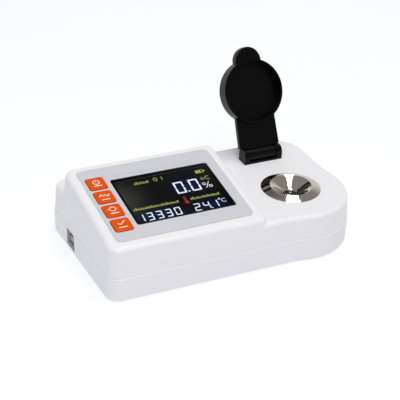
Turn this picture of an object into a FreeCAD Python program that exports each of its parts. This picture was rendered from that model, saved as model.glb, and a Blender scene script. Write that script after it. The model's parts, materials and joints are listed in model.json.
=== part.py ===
import FreeCAD, Part
import math
import os

# Benchtop digital refractometer: a two-part moulded case with a sloped display console on the
# left, a low deck with a stainless sample well on the right and a black flip cover that
# hinges behind the well. Millimetres, +Z up, +X to the right and +Y to the back.

# Case
BODY_LENGTH = 170.0
BODY_DEPTH = 98.0
CORNER_RADIUS = 8.0
BACK_CORNER_RADIUS = 18.0
WALL = 2.2
FLOOR_WALL = 2.4
SEAM_HEIGHT = 16.0
SEAM_STEP = 0.35
SEAM_CHAMFER = 0.5
UPPER_DRAFT = 3.4
LOWER_DRAFT = 1.2
EDGE_RADIUS = 3.0
BASE_EDGE_RADIUS = 1.6
LIP_HEIGHT = 2.0
LIP_THICKNESS = 1.0
LIP_CLEARANCE = 0.15
FOOT_PROUD = 0.8

# Console and deck surfaces: the console ends short of the case's right side and back
DECK_LENGTH = 66.8
BACK_LEDGE = 15.0
CONSOLE_WIDTH = BODY_LENGTH - DECK_LENGTH
CONSOLE_DEPTH = BODY_DEPTH - BACK_LEDGE
CONSOLE_CORNER_RADIUS = 6.5
CONSOLE_FRONT_HEIGHT = 34.5
CONSOLE_SLOPE = 10.07
CONSOLE_RUN = CONSOLE_DEPTH / math.cos(math.radians(CONSOLE_SLOPE))
DECK_FRONT_HEIGHT = 31.2
DECK_SLOPE = 1.52

# Round end of the deck, struck from the well's centre
WELL_FROM_RIGHT = 34.6
WELL_X = BODY_LENGTH - WELL_FROM_RIGHT
WELL_Y = 35.2
LOBE_RADIUS = 36.8
FRONT_BLEND_RADIUS = 60.0
SIDE_BLEND_RADIUS = 70.0

# Grey trim panel with the display and the keys, in the console's own slope, inside even margins
PANEL_LEFT = 7.8
PANEL_FRONT = 7.9
PANEL_BACK_MARGIN = 8.0
PANEL_WIDTH = CONSOLE_WIDTH - 2 * PANEL_LEFT
PANEL_HEIGHT = CONSOLE_RUN - PANEL_FRONT - PANEL_BACK_MARGIN
PANEL_THICKNESS = 1.0
PANEL_PROUD = 0.25
PANEL_RADIUS = 3.5
WINDOW_LEFT = 24.8
WINDOW_FRONT = 19.1
WINDOW_RIGHT_MARGIN = 6.4
WINDOW_BACK_MARGIN = 13.2
WINDOW_WIDTH = PANEL_LEFT + PANEL_WIDTH - WINDOW_LEFT - WINDOW_RIGHT_MARGIN
WINDOW_HEIGHT = PANEL_FRONT + PANEL_HEIGHT - WINDOW_FRONT - WINDOW_BACK_MARGIN
WINDOW_THICKNESS = 1.5
WINDOW_RADIUS = 1.6
TRIM_CLEARANCE = 0.1

# Keys, in a column as long as the window is high
KEY_COUNT = 4
KEY_WIDTH = 11.3
KEY_SPACE = 2.15
KEY_RADIUS = 1.6
KEY_CENTRE_X = 15.95
KEY_FRONT_INSET = 2.7
KEY_BACK_INSET = 1.25
KEY_FIRST_Y = WINDOW_FRONT + KEY_FRONT_INSET
KEY_LAST_Y = WINDOW_FRONT + WINDOW_HEIGHT - KEY_BACK_INSET
KEY_PITCH = (KEY_LAST_Y - KEY_FIRST_Y) / (KEY_COUNT - 1)
KEY_HEIGHT = KEY_PITCH - KEY_SPACE
KEY_PROUD = 0.7
KEY_TRAVEL = 0.8
KEY_GAP = 0.3
KEY_FLANGE = 0.8
KEY_FLANGE_THICKNESS = 1.0
KEY_STEM_LENGTH = 1.0
KEY_CROWN_RADIUS = 0.45
SWITCH_SIZE = 6.0
SWITCH_HEIGHT = 3.4
PLUNGER_RADIUS = 1.7
PLUNGER_PROUD = 1.6
PLUNGER_DEPTH = 1.4
PLUNGER_CLEARANCE = 0.05
PLUNGER_ROOM = 0.3

# Display module and the boards
LCD_OVERLAP = 1.8
LCD_THICKNESS = 3.2
LCD_FRAME_THICKNESS = 2.0
LCD_FRAME_WALL = 1.4
LCD_LUG_INSET = 15.0
LCD_LUG_REACH = 4.6
BOARD_THICKNESS = 1.6
BOARD_RADIUS = 1.0
MAIN_BOARD_LEFT = 4.2
MAIN_BOARD_FRONT = 14.0
MAIN_BOARD_RIGHT_GAP = 7.0
MAIN_BOARD_BACK_GAP = 7.0
MAIN_BOARD_LENGTH = CONSOLE_WIDTH - MAIN_BOARD_LEFT - MAIN_BOARD_RIGHT_GAP
MAIN_BOARD_DEPTH = CONSOLE_DEPTH - MAIN_BOARD_FRONT - MAIN_BOARD_BACK_GAP
BOARD_HOLE_INSET = 2.3
BOARD_FRONT_HOLE = 4.0
BOARD_BACK_HOLE = 3.8
PROCESSOR_SIDE = 12.0
PROCESSOR_HEIGHT = 1.6
DRIVER_LENGTH = 8.0
DRIVER_DEPTH = 6.0
PLUG_LENGTH = 12.0
PLUG_DEPTH = 5.0
PLUG_HEIGHT = 3.6

# Socket in the left wall, in front of the main board's back screws
SOCKET_FROM_BOARD_BACK = 12.2
SOCKET_CENTRE_Y = MAIN_BOARD_FRONT + MAIN_BOARD_DEPTH - SOCKET_FROM_BOARD_BACK
SOCKET_CENTRE_Z = 9.2
SOCKET_WIDTH = 12.0
SOCKET_HEIGHT = 10.9
SOCKET_LENGTH = 16.4
SOCKET_SHEET = 0.4
SOCKET_MOUTH_WIDTH = 8.5
SOCKET_MOUTH_HEIGHT = 7.8
SOCKET_TONGUE_WIDTH = 5.6
SOCKET_TONGUE_HEIGHT = 3.2
SOCKET_MOUTH_CORNER = 1.8
SOCKET_MOUTH_DEPTH = 9.0
SOCKET_RECESS = 0.4
SOCKET_LIP = 0.3
SOCKET_OPENING_GAP = 0.35

# Battery, under the main board and behind the socket's end
BATTERY_LEFT = 24.0
BATTERY_FRONT = 18.0
BATTERY_RIGHT_GAP = 13.2
BATTERY_BACK_ROOM = 24.0
BATTERY_LENGTH = CONSOLE_WIDTH - BATTERY_LEFT - BATTERY_RIGHT_GAP
BATTERY_DEPTH = MAIN_BOARD_DEPTH - BATTERY_BACK_ROOM
BATTERY_HEIGHT = 8.6
BATTERY_RADIUS = 3.0
BATTERY_RIB = 1.2
BATTERY_RIB_HEIGHT = 4.0
BATTERY_CLEARANCE = 0.4

# Sample well, a turned stainless ring with an outer bevel, a ridge and an inner funnel
WELL_RADIUS = 18.7
RIDGE_RADIUS = 12.8
RIDGE_HEIGHT = 2.9
RIDGE_LAND = 0.35
WELL_RIM = 0.8
FUNNEL_DEPTH = 3.6
PRISM_HOLE_RADIUS = 3.8
SPIGOT_RADIUS = 15.0
SPIGOT_DEPTH = 7.0
SPIGOT_CLEARANCE = 0.2
SEAT_LAND = 1.2
PRISM_HEIGHT = 6.0
PRISM_WIDTH = 12.0
SEAL_RADIUS = 0.5
SEAL_RING_RADIUS = 5.0

# Optics under the well
OPTICS_WIDTH = 32.0
OPTICS_DEPTH = 28.0
OPTICS_HEIGHT = 16.5
OPTICS_CORNER = 2.0
OPTICS_EAR = 5.0
OPTICS_EAR_THICKNESS = 3.0
BEAM_RADIUS = 2.6
BEAM_ANGLE = 52.0
LENS_RADIUS = 4.0
LENS_THICKNESS = 2.2
LED_RADIUS = 2.5
LED_LENGTH = 6.6
LENS_DISTANCE = 11.4
LED_DISTANCE = 12.6
SENSOR_DISTANCE = 18.0
CHIP_THICKNESS = 1.6
CHIP_LENGTH = 15.0
CHIP_WIDTH = 5.0
SENSOR_BOARD_WIDTH = 23.0
SENSOR_BOARD_HEIGHT = 9.0
SENSOR_SCREW_REACH = 9.5
SENSOR_SCREW_BITE = 5.0
OPTICS_SCREW_LENGTH = 6.0
OPTICS_HOLE_DEPTH = 9.0
BEAM_START = 3.0
THERMISTOR_RADIUS = 1.5
THERMISTOR_LENGTH = 7.0
THERMISTOR_PLACE = 10.8

# Flip cover and its hinge, given in the deck's slope and from the well's centre
HINGE_DISTANCE = 40.3
HINGE_HEIGHT = 4.2
HINGE_WIDTH = 26.7
HINGE_POCKET = 1.0
EAR_THICKNESS = 3.6
EAR_RADIUS = 4.4
KNUCKLE_RADIUS = 4.0
KNUCKLE_GAP = 0.3
CRADLE_LIP = 1.5
PIN_RADIUS = 1.25
PIN_CLEARANCE = 0.05
PIN_COVERED = 1.0
PIN_CHAMFER = 0.2
PEG_RADIUS = 1.7
HINGE_SCREW_BITE = 2.0
COVER_RADIUS = 20.6
COVER_THICKNESS = 9.5
COVER_WALL = 1.3
CUP_DEPTH = 5.4
CUP_STEP = 1.4
CUP_STEP_DEPTH = 4.2
COVER_BACK_RADIUS = 1.6
COVER_GAP = 1.0
ARM_THICKNESS = 3.2
ARM_ABOVE_AXIS = 0.1
ARM_START = 4.7
ARM_FOOT_WIDTH = 28.4
ARM_TOP_WIDTH = 27.2
ARM_EDGE_RADIUS = 0.5
ARM_DIMPLE_LENGTH = 7.4
ARM_DIMPLE_WIDTH = 3.8
ARM_DIMPLE_DEPTH = 0.4
ARM_DIMPLE_PLACE = 10.1
TAB_RADIUS = 9.1
TAB_REACH = 7.9
TAB_THICKNESS = 5.4
TAB_BELOW_TOP = 2.3
TAB_EDGE_RADIUS = 0.8
OPEN_LEAN = 24.5
OPEN_ANGLE = 90.0 + OPEN_LEAN + DECK_SLOPE

# Fasteners and feet
SCREW_RADIUS = 1.5
SCREW_HEAD_RADIUS = 2.8
SCREW_HEAD_HEIGHT = 1.8
SCREW_BOSS_RADIUS = 3.6
SCREW_BITE = 5.6
SCREW_RECESS = 3.0
SMALL_SCREW_RADIUS = 1.0
SMALL_HEAD_RADIUS = 1.9
SMALL_HEAD_HEIGHT = 1.2
HOLE_CLEARANCE = 0.1
SMALL_SCREW_LENGTH = 5.0
LCD_SCREW_LENGTH = 4.2
SCREW_END_ROOM = 0.2
POST_RADIUS = 2.3
FOOT_RADIUS = 5.0
FOOT_POCKET = 0.8
FOOT_INSET = 15.0
FOOT_RIGHT_SHIFT = 6.0
SCREW_LEFT = 30.0
SCREW_INSET = 9.0
SCREW_TURN = -58.0

UNDERSIDE = FOOT_PROUD
FLOOR_TOP = UNDERSIDE + FLOOR_WALL
MARGIN = 1.0
TALL = 60.0
REACH = 400.0
X_AXIS = FreeCAD.Vector(1, 0, 0)
Z_AXIS = FreeCAD.Vector(0, 0, 1)


def vec(x, y, z=0.0):
    return FreeCAD.Vector(x, y, z)


def on_circle(cx, cy, radius, degrees, z):
    """A point on a level circle."""
    turn = math.radians(degrees)
    return vec(cx + radius * math.cos(turn), cy + radius * math.sin(turn), z)


def arc(cx, cy, radius, start, end, z):
    """An arc edge on a level circle, from one angle to the other, in degrees."""
    points = [on_circle(cx, cy, radius, turn, z) for turn in (start, (start + end) / 2, end)]
    return Part.Arc(*points).toShape()


def line(x0, y0, x1, y1, z):
    return Part.makeLine(vec(x0, y0, z), vec(x1, y1, z))


def rounded_rectangle(x0, y0, x1, y1, radii, z=0.0):
    """A wire with its corners rounded in the order front left, front right, back right, back left."""
    a, b, c, d = radii
    return Part.Wire([
        line(x0 + a, y0, x1 - b, y0, z), arc(x1 - b, y0 + b, b, -90, 0, z),
        line(x1, y0 + b, x1, y1 - c, z), arc(x1 - c, y1 - c, c, 0, 90, z),
        line(x1 - c, y1, x0 + d, y1, z), arc(x0 + d, y1 - d, d, 90, 180, z),
        line(x0, y1 - d, x0, y0 + a, z), arc(x0 + a, y0 + a, a, 180, 270, z),
    ])


def rounded_plate(x0, y0, x1, y1, radius, z, height):
    """A flat plate with four equal corner radii."""
    wire = rounded_rectangle(x0, y0, x1, y1, (radius,) * 4, z)
    return Part.Face(wire).extrude(vec(0, 0, height))


def block(x0, y0, z0, x1, y1, z1):
    return Part.makeBox(x1 - x0, y1 - y0, z1 - z0, vec(x0, y0, z0))


def rod(x, y, z, radius, height, direction=Z_AXIS):
    return Part.makeCylinder(radius, height, vec(x, y, z), direction)


def turned(profile):
    """A solid of revolution about Z from (radius, height) corners."""
    points = [vec(radius, 0, height) for radius, height in profile]
    face = Part.Face(Part.makePolygon(points + points[:1]))
    return face.revolve(vec(0, 0, 0), Z_AXIS, 360)


def side_extrusion(edges, x0, x1):
    """A profile drawn in the YZ plane as edges, extruded from x0 to x1."""
    face = Part.Face(Part.Wire(edges))
    face.translate(vec(x0, 0, 0))
    return face.extrude(vec(x1 - x0, 0, 0))


def placed(shape, placement):
    moved = shape.copy()
    moved.Placement = placement.multiply(moved.Placement)
    return moved


def joined(first, *others):
    return first.fuse(list(others)).removeSplitter()


def single(shape):
    """The one solid that a boolean operation leaves."""
    assert len(shape.Solids) == 1, "expected one solid"
    return shape.Solids[0]


# Places on the case

def deck_height(y):
    return DECK_FRONT_HEIGHT + y * math.tan(math.radians(DECK_SLOPE))


def console_frame():
    """The console's own frame: origin at the left front, y up the slope, z out of the surface."""
    turn = FreeCAD.Rotation(X_AXIS, CONSOLE_SLOPE)
    return FreeCAD.Placement(vec(0, 0, CONSOLE_FRONT_HEIGHT), turn)


def deck_frame():
    """The deck's own frame, with its origin at the well's centre on the deck."""
    turn = FreeCAD.Rotation(X_AXIS, DECK_SLOPE)
    return FreeCAD.Placement(vec(WELL_X, WELL_Y, deck_height(WELL_Y)), turn)


def key_centres():
    return [(KEY_CENTRE_X, KEY_FIRST_Y + KEY_PITCH * i) for i in range(KEY_COUNT)]


def foot_centres():
    left, front, back = FOOT_INSET, FOOT_INSET, BODY_DEPTH - FOOT_INSET
    right, shift = BODY_LENGTH - FOOT_INSET - FOOT_RIGHT_SHIFT, FOOT_RIGHT_SHIFT
    return [(left, front), (right, front + shift), (right, back - shift / 2), (left, back)]


def screw_centres():
    """The four case screws, each in line with a boss of both shells."""
    front = on_circle(WELL_X, WELL_Y, LOBE_RADIUS - SCREW_INSET, SCREW_TURN, 0)
    back = on_circle(BODY_LENGTH - BACK_CORNER_RADIUS, BODY_DEPTH - BACK_CORNER_RADIUS,
                     BACK_CORNER_RADIUS - SCREW_INSET, 45, 0)
    return [(SCREW_LEFT, SCREW_INSET), (front.x, front.y), (back.x, back.y),
            (SCREW_LEFT, BODY_DEPTH - SCREW_INSET)]


# Outer forms

def case_outline(inset, z):
    """The case seen from above, moved inwards by inset: straight sides, and a round end that
    is struck from the well's centre and blended into the front and the right side."""
    side = BODY_LENGTH - WELL_X
    front_run = math.sqrt((LOBE_RADIUS + FRONT_BLEND_RADIUS) ** 2 - (WELL_Y + FRONT_BLEND_RADIUS) ** 2)
    side_run = math.sqrt((LOBE_RADIUS + SIDE_BLEND_RADIUS) ** 2 - (side + SIDE_BLEND_RADIUS) ** 2)
    front_angle = math.degrees(math.atan2(-WELL_Y - FRONT_BLEND_RADIUS, -front_run))
    side_angle = math.degrees(math.atan2(side_run, side + SIDE_BLEND_RADIUS))
    right, back = BODY_LENGTH - inset, BODY_DEPTH - inset
    corner, back_corner = CORNER_RADIUS, BACK_CORNER_RADIUS
    front_x, side_y = WELL_X - front_run, WELL_Y + side_run
    return Part.Wire([
        line(corner, inset, front_x, inset, z),
        arc(front_x, -FRONT_BLEND_RADIUS, FRONT_BLEND_RADIUS + inset, 90, front_angle + 180, z),
        arc(WELL_X, WELL_Y, LOBE_RADIUS - inset, front_angle, side_angle, z),
        arc(BODY_LENGTH + SIDE_BLEND_RADIUS, side_y, SIDE_BLEND_RADIUS + inset, side_angle + 180, 180, z),
        line(right, side_y, right, BODY_DEPTH - back_corner, z),
        arc(BODY_LENGTH - back_corner, BODY_DEPTH - back_corner, back_corner - inset, 0, 90, z),
        line(BODY_LENGTH - back_corner, back, corner, back, z),
        arc(corner, BODY_DEPTH - corner, corner - inset, 90, 180, z),
        line(inset, BODY_DEPTH - corner, inset, corner, z),
        arc(corner, corner, corner - inset, 180, 270, z),
    ])


def console_outline(inset, z):
    near, far = CORNER_RADIUS - inset, CONSOLE_CORNER_RADIUS - min(inset, CONSOLE_CORNER_RADIUS - 0.5)
    return rounded_rectangle(inset, inset, CONSOLE_WIDTH - inset, CONSOLE_DEPTH - inset,
                             (near, far, far, near), z)


def above(height, slope):
    """Everything above a surface that rises to the back."""
    space = block(-REACH, -REACH, 0, REACH, REACH, TALL * 2)
    space.rotate(vec(0, 0, 0), X_AXIS, slope)
    space.translate(vec(0, 0, height))
    return space


def drafted_block(outline, inset, z0, height, slope, edge_radius):
    """A block with drafted walls under a sloped top, its top edge rounded."""
    narrowing = (TALL - SEAM_HEIGHT) * math.tan(math.radians(UPPER_DRAFT))
    lower = outline(inset - (SEAM_HEIGHT - z0) * math.tan(math.radians(UPPER_DRAFT)), z0)
    raised = Part.makeLoft([lower, outline(inset + narrowing, TALL)], True, True)
    form = raised.cut(above(height, slope))
    slope_rise = math.tan(math.radians(slope))
    rim = [e for e in form.Edges
           if all(abs(v.Z - height - v.Y * slope_rise) < 0.01 for v in e.Vertexes)]
    return form.makeFillet(edge_radius, rim)


def upper_form(inset, sink, z0, edge_radius):
    """Deck and console as one form, moved inwards by inset and down by sink."""
    deck = drafted_block(case_outline, inset, z0, DECK_FRONT_HEIGHT - sink, DECK_SLOPE, edge_radius)
    console = drafted_block(console_outline, inset, z0, CONSOLE_FRONT_HEIGHT - sink,
                            CONSOLE_SLOPE, edge_radius)
    return single(joined(deck, console))


def lower_form(inset, z0, z1):
    """The lower shell's form between two heights."""
    draft = math.tan(math.radians(LOWER_DRAFT))
    return Part.makeLoft([case_outline(inset + (SEAM_HEIGHT - z0) * draft, z0),
                          case_outline(inset + (SEAM_HEIGHT - z1) * draft, z1)], True, True)


# Heights inside the console, in its own frame

RECESS_FLOOR = PANEL_PROUD - PANEL_THICKNESS
WINDOW_TOP = PANEL_PROUD - TRIM_CLEARANCE
WINDOW_LEDGE_Z = WINDOW_TOP - WINDOW_THICKNESS
WINDOW_LEDGE = 1.2
LCD_TOP = -WALL
LCD_BOTTOM = LCD_TOP - LCD_THICKNESS
LCD_FRAME_BOTTOM = LCD_BOTTOM - LCD_FRAME_THICKNESS
KEY_FLANGE_TOP = -WALL - KEY_GAP
KEY_STEM_BOTTOM = KEY_FLANGE_TOP - KEY_FLANGE_THICKNESS - KEY_STEM_LENGTH
SWITCH_TOP = KEY_STEM_BOTTOM - PLUNGER_PROUD
KEY_BOARD_TOP = SWITCH_TOP - SWITCH_HEIGHT
KEY_BOARD_BOTTOM = KEY_BOARD_TOP - BOARD_THICKNESS

# Heights of the main board, which carries the socket under it, in the case's frame
MAIN_BOARD_BOTTOM = SOCKET_CENTRE_Z + SOCKET_HEIGHT / 2
MAIN_BOARD_TOP = MAIN_BOARD_BOTTOM + BOARD_THICKNESS

# Heights under the well, in the deck's frame
HOLE_BOTTOM = -FUNNEL_DEPTH - SEAT_LAND
OPTICS_TOP = -SPIGOT_DEPTH
OPTICS_BOTTOM = OPTICS_TOP - OPTICS_HEIGHT
PRISM_UNDERSIDE = HOLE_BOTTOM - PRISM_HEIGHT


def lcd_box(margin, z0, z1):
    """A plate behind the window, larger than the window's ledge opening by margin."""
    grown = margin - WINDOW_LEDGE
    return rounded_plate(WINDOW_LEFT - grown, WINDOW_FRONT - grown,
                         WINDOW_LEFT + WINDOW_WIDTH + grown, WINDOW_FRONT + WINDOW_HEIGHT + grown,
                         WINDOW_RADIUS, z0, z1 - z0)


def display_lugs():
    """The four screw points of the display frame, in the console's frame."""
    front, back = WINDOW_FRONT - LCD_LUG_REACH, WINDOW_FRONT + WINDOW_HEIGHT + LCD_LUG_REACH
    left, right = WINDOW_LEFT + LCD_LUG_INSET, WINDOW_LEFT + WINDOW_WIDTH - LCD_LUG_INSET
    return [(left, front), (right, front), (left, back), (right, back)]


def key_board_points():
    """The two screw points of the key board, beyond the first and the last key."""
    reach = KEY_HEIGHT / 2 + KEY_FLANGE + POST_RADIUS + 2 * KEY_GAP
    return [(KEY_CENTRE_X, KEY_FIRST_Y - reach), (KEY_CENTRE_X, KEY_LAST_Y + reach)]


def main_board_points():
    """The four screw points of the main board, in the case's frame."""
    left = MAIN_BOARD_LEFT + BOARD_HOLE_INSET
    right = MAIN_BOARD_LEFT + MAIN_BOARD_LENGTH - BOARD_HOLE_INSET
    front = MAIN_BOARD_FRONT + BOARD_FRONT_HOLE
    back = MAIN_BOARD_FRONT + MAIN_BOARD_DEPTH - BOARD_BACK_HOLE
    return [(left, front), (right, front), (left, back), (right, back)]


def optics_points():
    """The four screw points of the optics housing, in the deck's frame."""
    x, y = OPTICS_WIDTH / 2 + OPTICS_EAR / 2 + 0.3, OPTICS_DEPTH / 2 - OPTICS_EAR / 2 - 1.0
    return [(-x, -y), (x, -y), (x, y), (-x, y)]


def hinge_peg_points():
    """The two screw points of the hinge base, under its ears."""
    reach = HINGE_WIDTH / 2 - EAR_THICKNESS / 2
    return [(-reach, HINGE_DISTANCE), (reach, HINGE_DISTANCE)]


def window_plate(grown, z0, z1, radius=WINDOW_RADIUS):
    return rounded_plate(WINDOW_LEFT - grown, WINDOW_FRONT - grown,
                         WINDOW_LEFT + WINDOW_WIDTH + grown, WINDOW_FRONT + WINDOW_HEIGHT + grown,
                         radius + grown, z0, z1 - z0)


def key_plate(centre, grown, z0, z1):
    x, y = centre
    wide, high = KEY_WIDTH / 2 + grown, KEY_HEIGHT / 2 + grown
    return rounded_plate(x - wide, y - high, x + wide, y + high, KEY_RADIUS + grown, z0, z1 - z0)


def screw(radius, length, head_radius, head_height):
    """A pan-head screw pointing up from its head: the head's seat is at z = 0."""
    shank = rod(0, 0, 0, radius, length)
    head = rod(0, 0, -head_height, head_radius, head_height)
    low_edge = [e for e in head.Edges if abs(e.BoundBox.ZMax + head_height) < 0.01]
    return joined(shank, head.makeFillet(head_height * 0.4, low_edge))


# Bottom shell and what it carries

def bottom_shell():
    outer = lower_form(0.0, UNDERSIDE, SEAM_HEIGHT)
    rim = [e for e in outer.Edges if abs(e.BoundBox.ZMax - UNDERSIDE) < 0.01]
    outer = outer.makeFillet(BASE_EDGE_RADIUS, rim)
    brim = [e for e in outer.Edges if abs(e.BoundBox.ZMin - SEAM_HEIGHT) < 0.01]
    outer = outer.makeChamfer(SEAM_CHAMFER, brim)
    tray = outer.cut(lower_form(WALL, FLOOR_TOP, SEAM_HEIGHT + MARGIN))
    lip_top = SEAM_HEIGHT + LIP_HEIGHT
    lip = Part.makeLoft([case_outline(WALL - LIP_THICKNESS, SEAM_HEIGHT - MARGIN),
                         case_outline(WALL - LIP_THICKNESS, lip_top)], True, True)
    lip = lip.cut(Part.makeLoft([case_outline(WALL, SEAM_HEIGHT - MARGIN),
                                 case_outline(WALL, lip_top)], True, True))
    bosses = [rod(x, y, FLOOR_TOP - MARGIN, SCREW_BOSS_RADIUS, SEAM_HEIGHT - FLOOR_TOP + MARGIN)
              for x, y in screw_centres()]
    shell = joined(tray, lip, *bosses, battery_ribs())
    tools = [socket_opening()]
    for x, y in screw_centres():
        tools.append(rod(x, y, UNDERSIDE - MARGIN, SCREW_RADIUS + 2 * HOLE_CLEARANCE, TALL))
        tools.append(rod(x, y, UNDERSIDE - MARGIN, SCREW_HEAD_RADIUS + 3 * HOLE_CLEARANCE,
                         SCREW_RECESS + MARGIN))
    for x, y in foot_centres():
        tools.append(rod(x, y, UNDERSIDE - MARGIN, FOOT_RADIUS, FOOT_POCKET + MARGIN))
    return single(shell.cut(tools))


def battery_ribs():
    """A low frame on the floor that keeps the battery in place."""
    x0, y0 = BATTERY_LEFT - BATTERY_CLEARANCE, BATTERY_FRONT - BATTERY_CLEARANCE
    x1 = BATTERY_LEFT + BATTERY_LENGTH + BATTERY_CLEARANCE
    y1 = BATTERY_FRONT + BATTERY_DEPTH + BATTERY_CLEARANCE
    outer = block(x0 - BATTERY_RIB, y0 - BATTERY_RIB, FLOOR_TOP - 0.5,
                  x1 + BATTERY_RIB, y1 + BATTERY_RIB, FLOOR_TOP + BATTERY_RIB_HEIGHT)
    inside = block(x0, y0, FLOOR_TOP - 1.0, x1, y1, FLOOR_TOP + BATTERY_RIB_HEIGHT + 1.0)
    return outer.cut(inside)


def socket_opening():
    """The hole in the left wall round the socket, with the can's clearance on each side."""
    half = SOCKET_WIDTH / 2 + SOCKET_OPENING_GAP
    low = SOCKET_CENTRE_Z - SOCKET_HEIGHT / 2 - SOCKET_OPENING_GAP
    return block(-MARGIN, SOCKET_CENTRE_Y - half, low,
                 WALL + 2 * MARGIN, SOCKET_CENTRE_Y + half, MAIN_BOARD_BOTTOM + SOCKET_OPENING_GAP)


def feet():
    """Four rubber discs in shallow pockets of the underside."""
    discs = []
    for x, y in foot_centres():
        disc = rod(x, y, 0.0, FOOT_RADIUS, FOOT_PROUD + FOOT_POCKET)
        low_edge = [e for e in disc.Edges if e.BoundBox.ZMax < 0.01]
        discs.append(disc.makeFillet(0.4, low_edge))
    return Part.makeCompound(discs)


def case_screws():
    """Screws from the underside through both shells' bosses."""
    seat = UNDERSIDE + SCREW_RECESS
    pieces = []
    for x, y in screw_centres():
        piece = screw(SCREW_RADIUS, SEAM_HEIGHT - seat + SCREW_BITE, SCREW_HEAD_RADIUS,
                      SCREW_HEAD_HEIGHT)
        piece.translate(vec(x, y, seat))
        pieces.append(piece)
    return Part.makeCompound(pieces)


def battery_pack():
    pack = rounded_plate(BATTERY_LEFT, BATTERY_FRONT, BATTERY_LEFT + BATTERY_LENGTH,
                         BATTERY_FRONT + BATTERY_DEPTH, BATTERY_RADIUS, FLOOR_TOP, BATTERY_HEIGHT)
    level = [e for e in pack.Edges if e.BoundBox.ZLength < 0.01]
    return single(pack.makeFillet(BATTERY_RADIUS / 3, level))


# Boards and the socket

def main_board():
    board = rounded_plate(MAIN_BOARD_LEFT, MAIN_BOARD_FRONT, MAIN_BOARD_LEFT + MAIN_BOARD_LENGTH,
                          MAIN_BOARD_FRONT + MAIN_BOARD_DEPTH, BOARD_RADIUS, MAIN_BOARD_BOTTOM,
                          BOARD_THICKNESS)
    holes = [rod(x, y, 0.0, SMALL_SCREW_RADIUS + HOLE_CLEARANCE, TALL) for x, y in main_board_points()]
    return single(board.cut(holes))


def board_components():
    """Two chips and three plugs on the main board, each at a share of the board's length and depth."""
    plug = (PLUG_LENGTH, PLUG_DEPTH, PLUG_HEIGHT)
    placing = [(0.32, 0.26, PROCESSOR_SIDE, PROCESSOR_SIDE, PROCESSOR_HEIGHT),
               (0.54, 0.29, DRIVER_LENGTH, DRIVER_DEPTH, PROCESSOR_HEIGHT),
               (0.32, 0.61, *plug), (0.60, 0.64, *plug),
               (0.86, 0.26, PLUG_DEPTH, PLUG_LENGTH, PLUG_HEIGHT)]
    pieces = []
    for along, back, length, depth, height in placing:
        x, y = MAIN_BOARD_LEFT + along * MAIN_BOARD_LENGTH, MAIN_BOARD_FRONT + back * MAIN_BOARD_DEPTH
        pieces.append(block(x, y, MAIN_BOARD_TOP, x + length, y + depth, MAIN_BOARD_TOP + height))
    return Part.makeCompound(pieces)


def socket_can():
    """The socket's folded sheet can, open at its mouth."""
    x0, half, z0 = SOCKET_RECESS, SOCKET_WIDTH / 2, SOCKET_CENTRE_Z - SOCKET_HEIGHT / 2
    outer = block(x0, SOCKET_CENTRE_Y - half, z0, x0 + SOCKET_LENGTH, SOCKET_CENTRE_Y + half,
                  MAIN_BOARD_BOTTOM)
    upright = [e for e in outer.Edges if e.BoundBox.XLength > SOCKET_LENGTH - 0.01]
    outer = outer.makeFillet(0.8, upright)
    return single(outer.cut(socket_room()))


def socket_room():
    """The space in the can, which the insulating core fills."""
    half = SOCKET_WIDTH / 2 - SOCKET_SHEET
    return block(SOCKET_RECESS - 1.0, SOCKET_CENTRE_Y - half,
                 SOCKET_CENTRE_Z - SOCKET_HEIGHT / 2 + SOCKET_SHEET,
                 SOCKET_RECESS + SOCKET_LENGTH - SOCKET_SHEET, SOCKET_CENTRE_Y + half,
                 MAIN_BOARD_BOTTOM - SOCKET_SHEET)


def socket_core():
    """The insulator with the plug's mouth and the contact tongue in its middle."""
    x0 = SOCKET_RECESS + SOCKET_LIP
    end = x0 + SOCKET_MOUTH_DEPTH
    room = socket_room().common(block(x0, 0, 0, REACH, REACH, TALL))
    y, z = SOCKET_CENTRE_Y, SOCKET_CENTRE_Z
    wide, high, cut = SOCKET_MOUTH_WIDTH / 2, SOCKET_MOUTH_HEIGHT / 2, SOCKET_MOUTH_CORNER
    corners = [(-wide, -high), (wide, -high), (wide, high - cut), (wide - cut, high),
               (cut - wide, high), (-wide, high - cut)]
    points = [vec(x0 - MARGIN, y + a, z + b) for a, b in corners]
    mouth = Part.Face(Part.makePolygon(points + points[:1])).extrude(vec(end - x0 + MARGIN, 0, 0))
    tongue = block(x0 + 2 * SOCKET_LIP, y - SOCKET_TONGUE_WIDTH / 2, z - SOCKET_TONGUE_HEIGHT / 2,
                   end + MARGIN, y + SOCKET_TONGUE_WIDTH / 2, z + SOCKET_TONGUE_HEIGHT / 2)
    return single(joined(room.cut(mouth), tongue))


def small_screws(points, seat, length, placement=None):
    """Small screws pointing up into bosses, one at each point."""
    pieces = []
    for x, y in points:
        piece = screw(SMALL_SCREW_RADIUS, length, SMALL_HEAD_RADIUS, SMALL_HEAD_HEIGHT)
        piece.translate(vec(x, y, seat))
        pieces.append(placed(piece, placement) if placement else piece)
    return Part.makeCompound(pieces)


# Top shell

def top_shell():
    outer = upper_form(SEAM_STEP, 0.0, SEAM_HEIGHT, EDGE_RADIUS)
    cavity = upper_form(SEAM_STEP + WALL, WALL, SEAM_HEIGHT - 1.0, 1.0)
    skin = outer.cut(cavity)
    shell = joined(skin, *[post.common(outer) for post in shell_posts()])
    return single(shell.cut(shell_cuts()))


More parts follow.
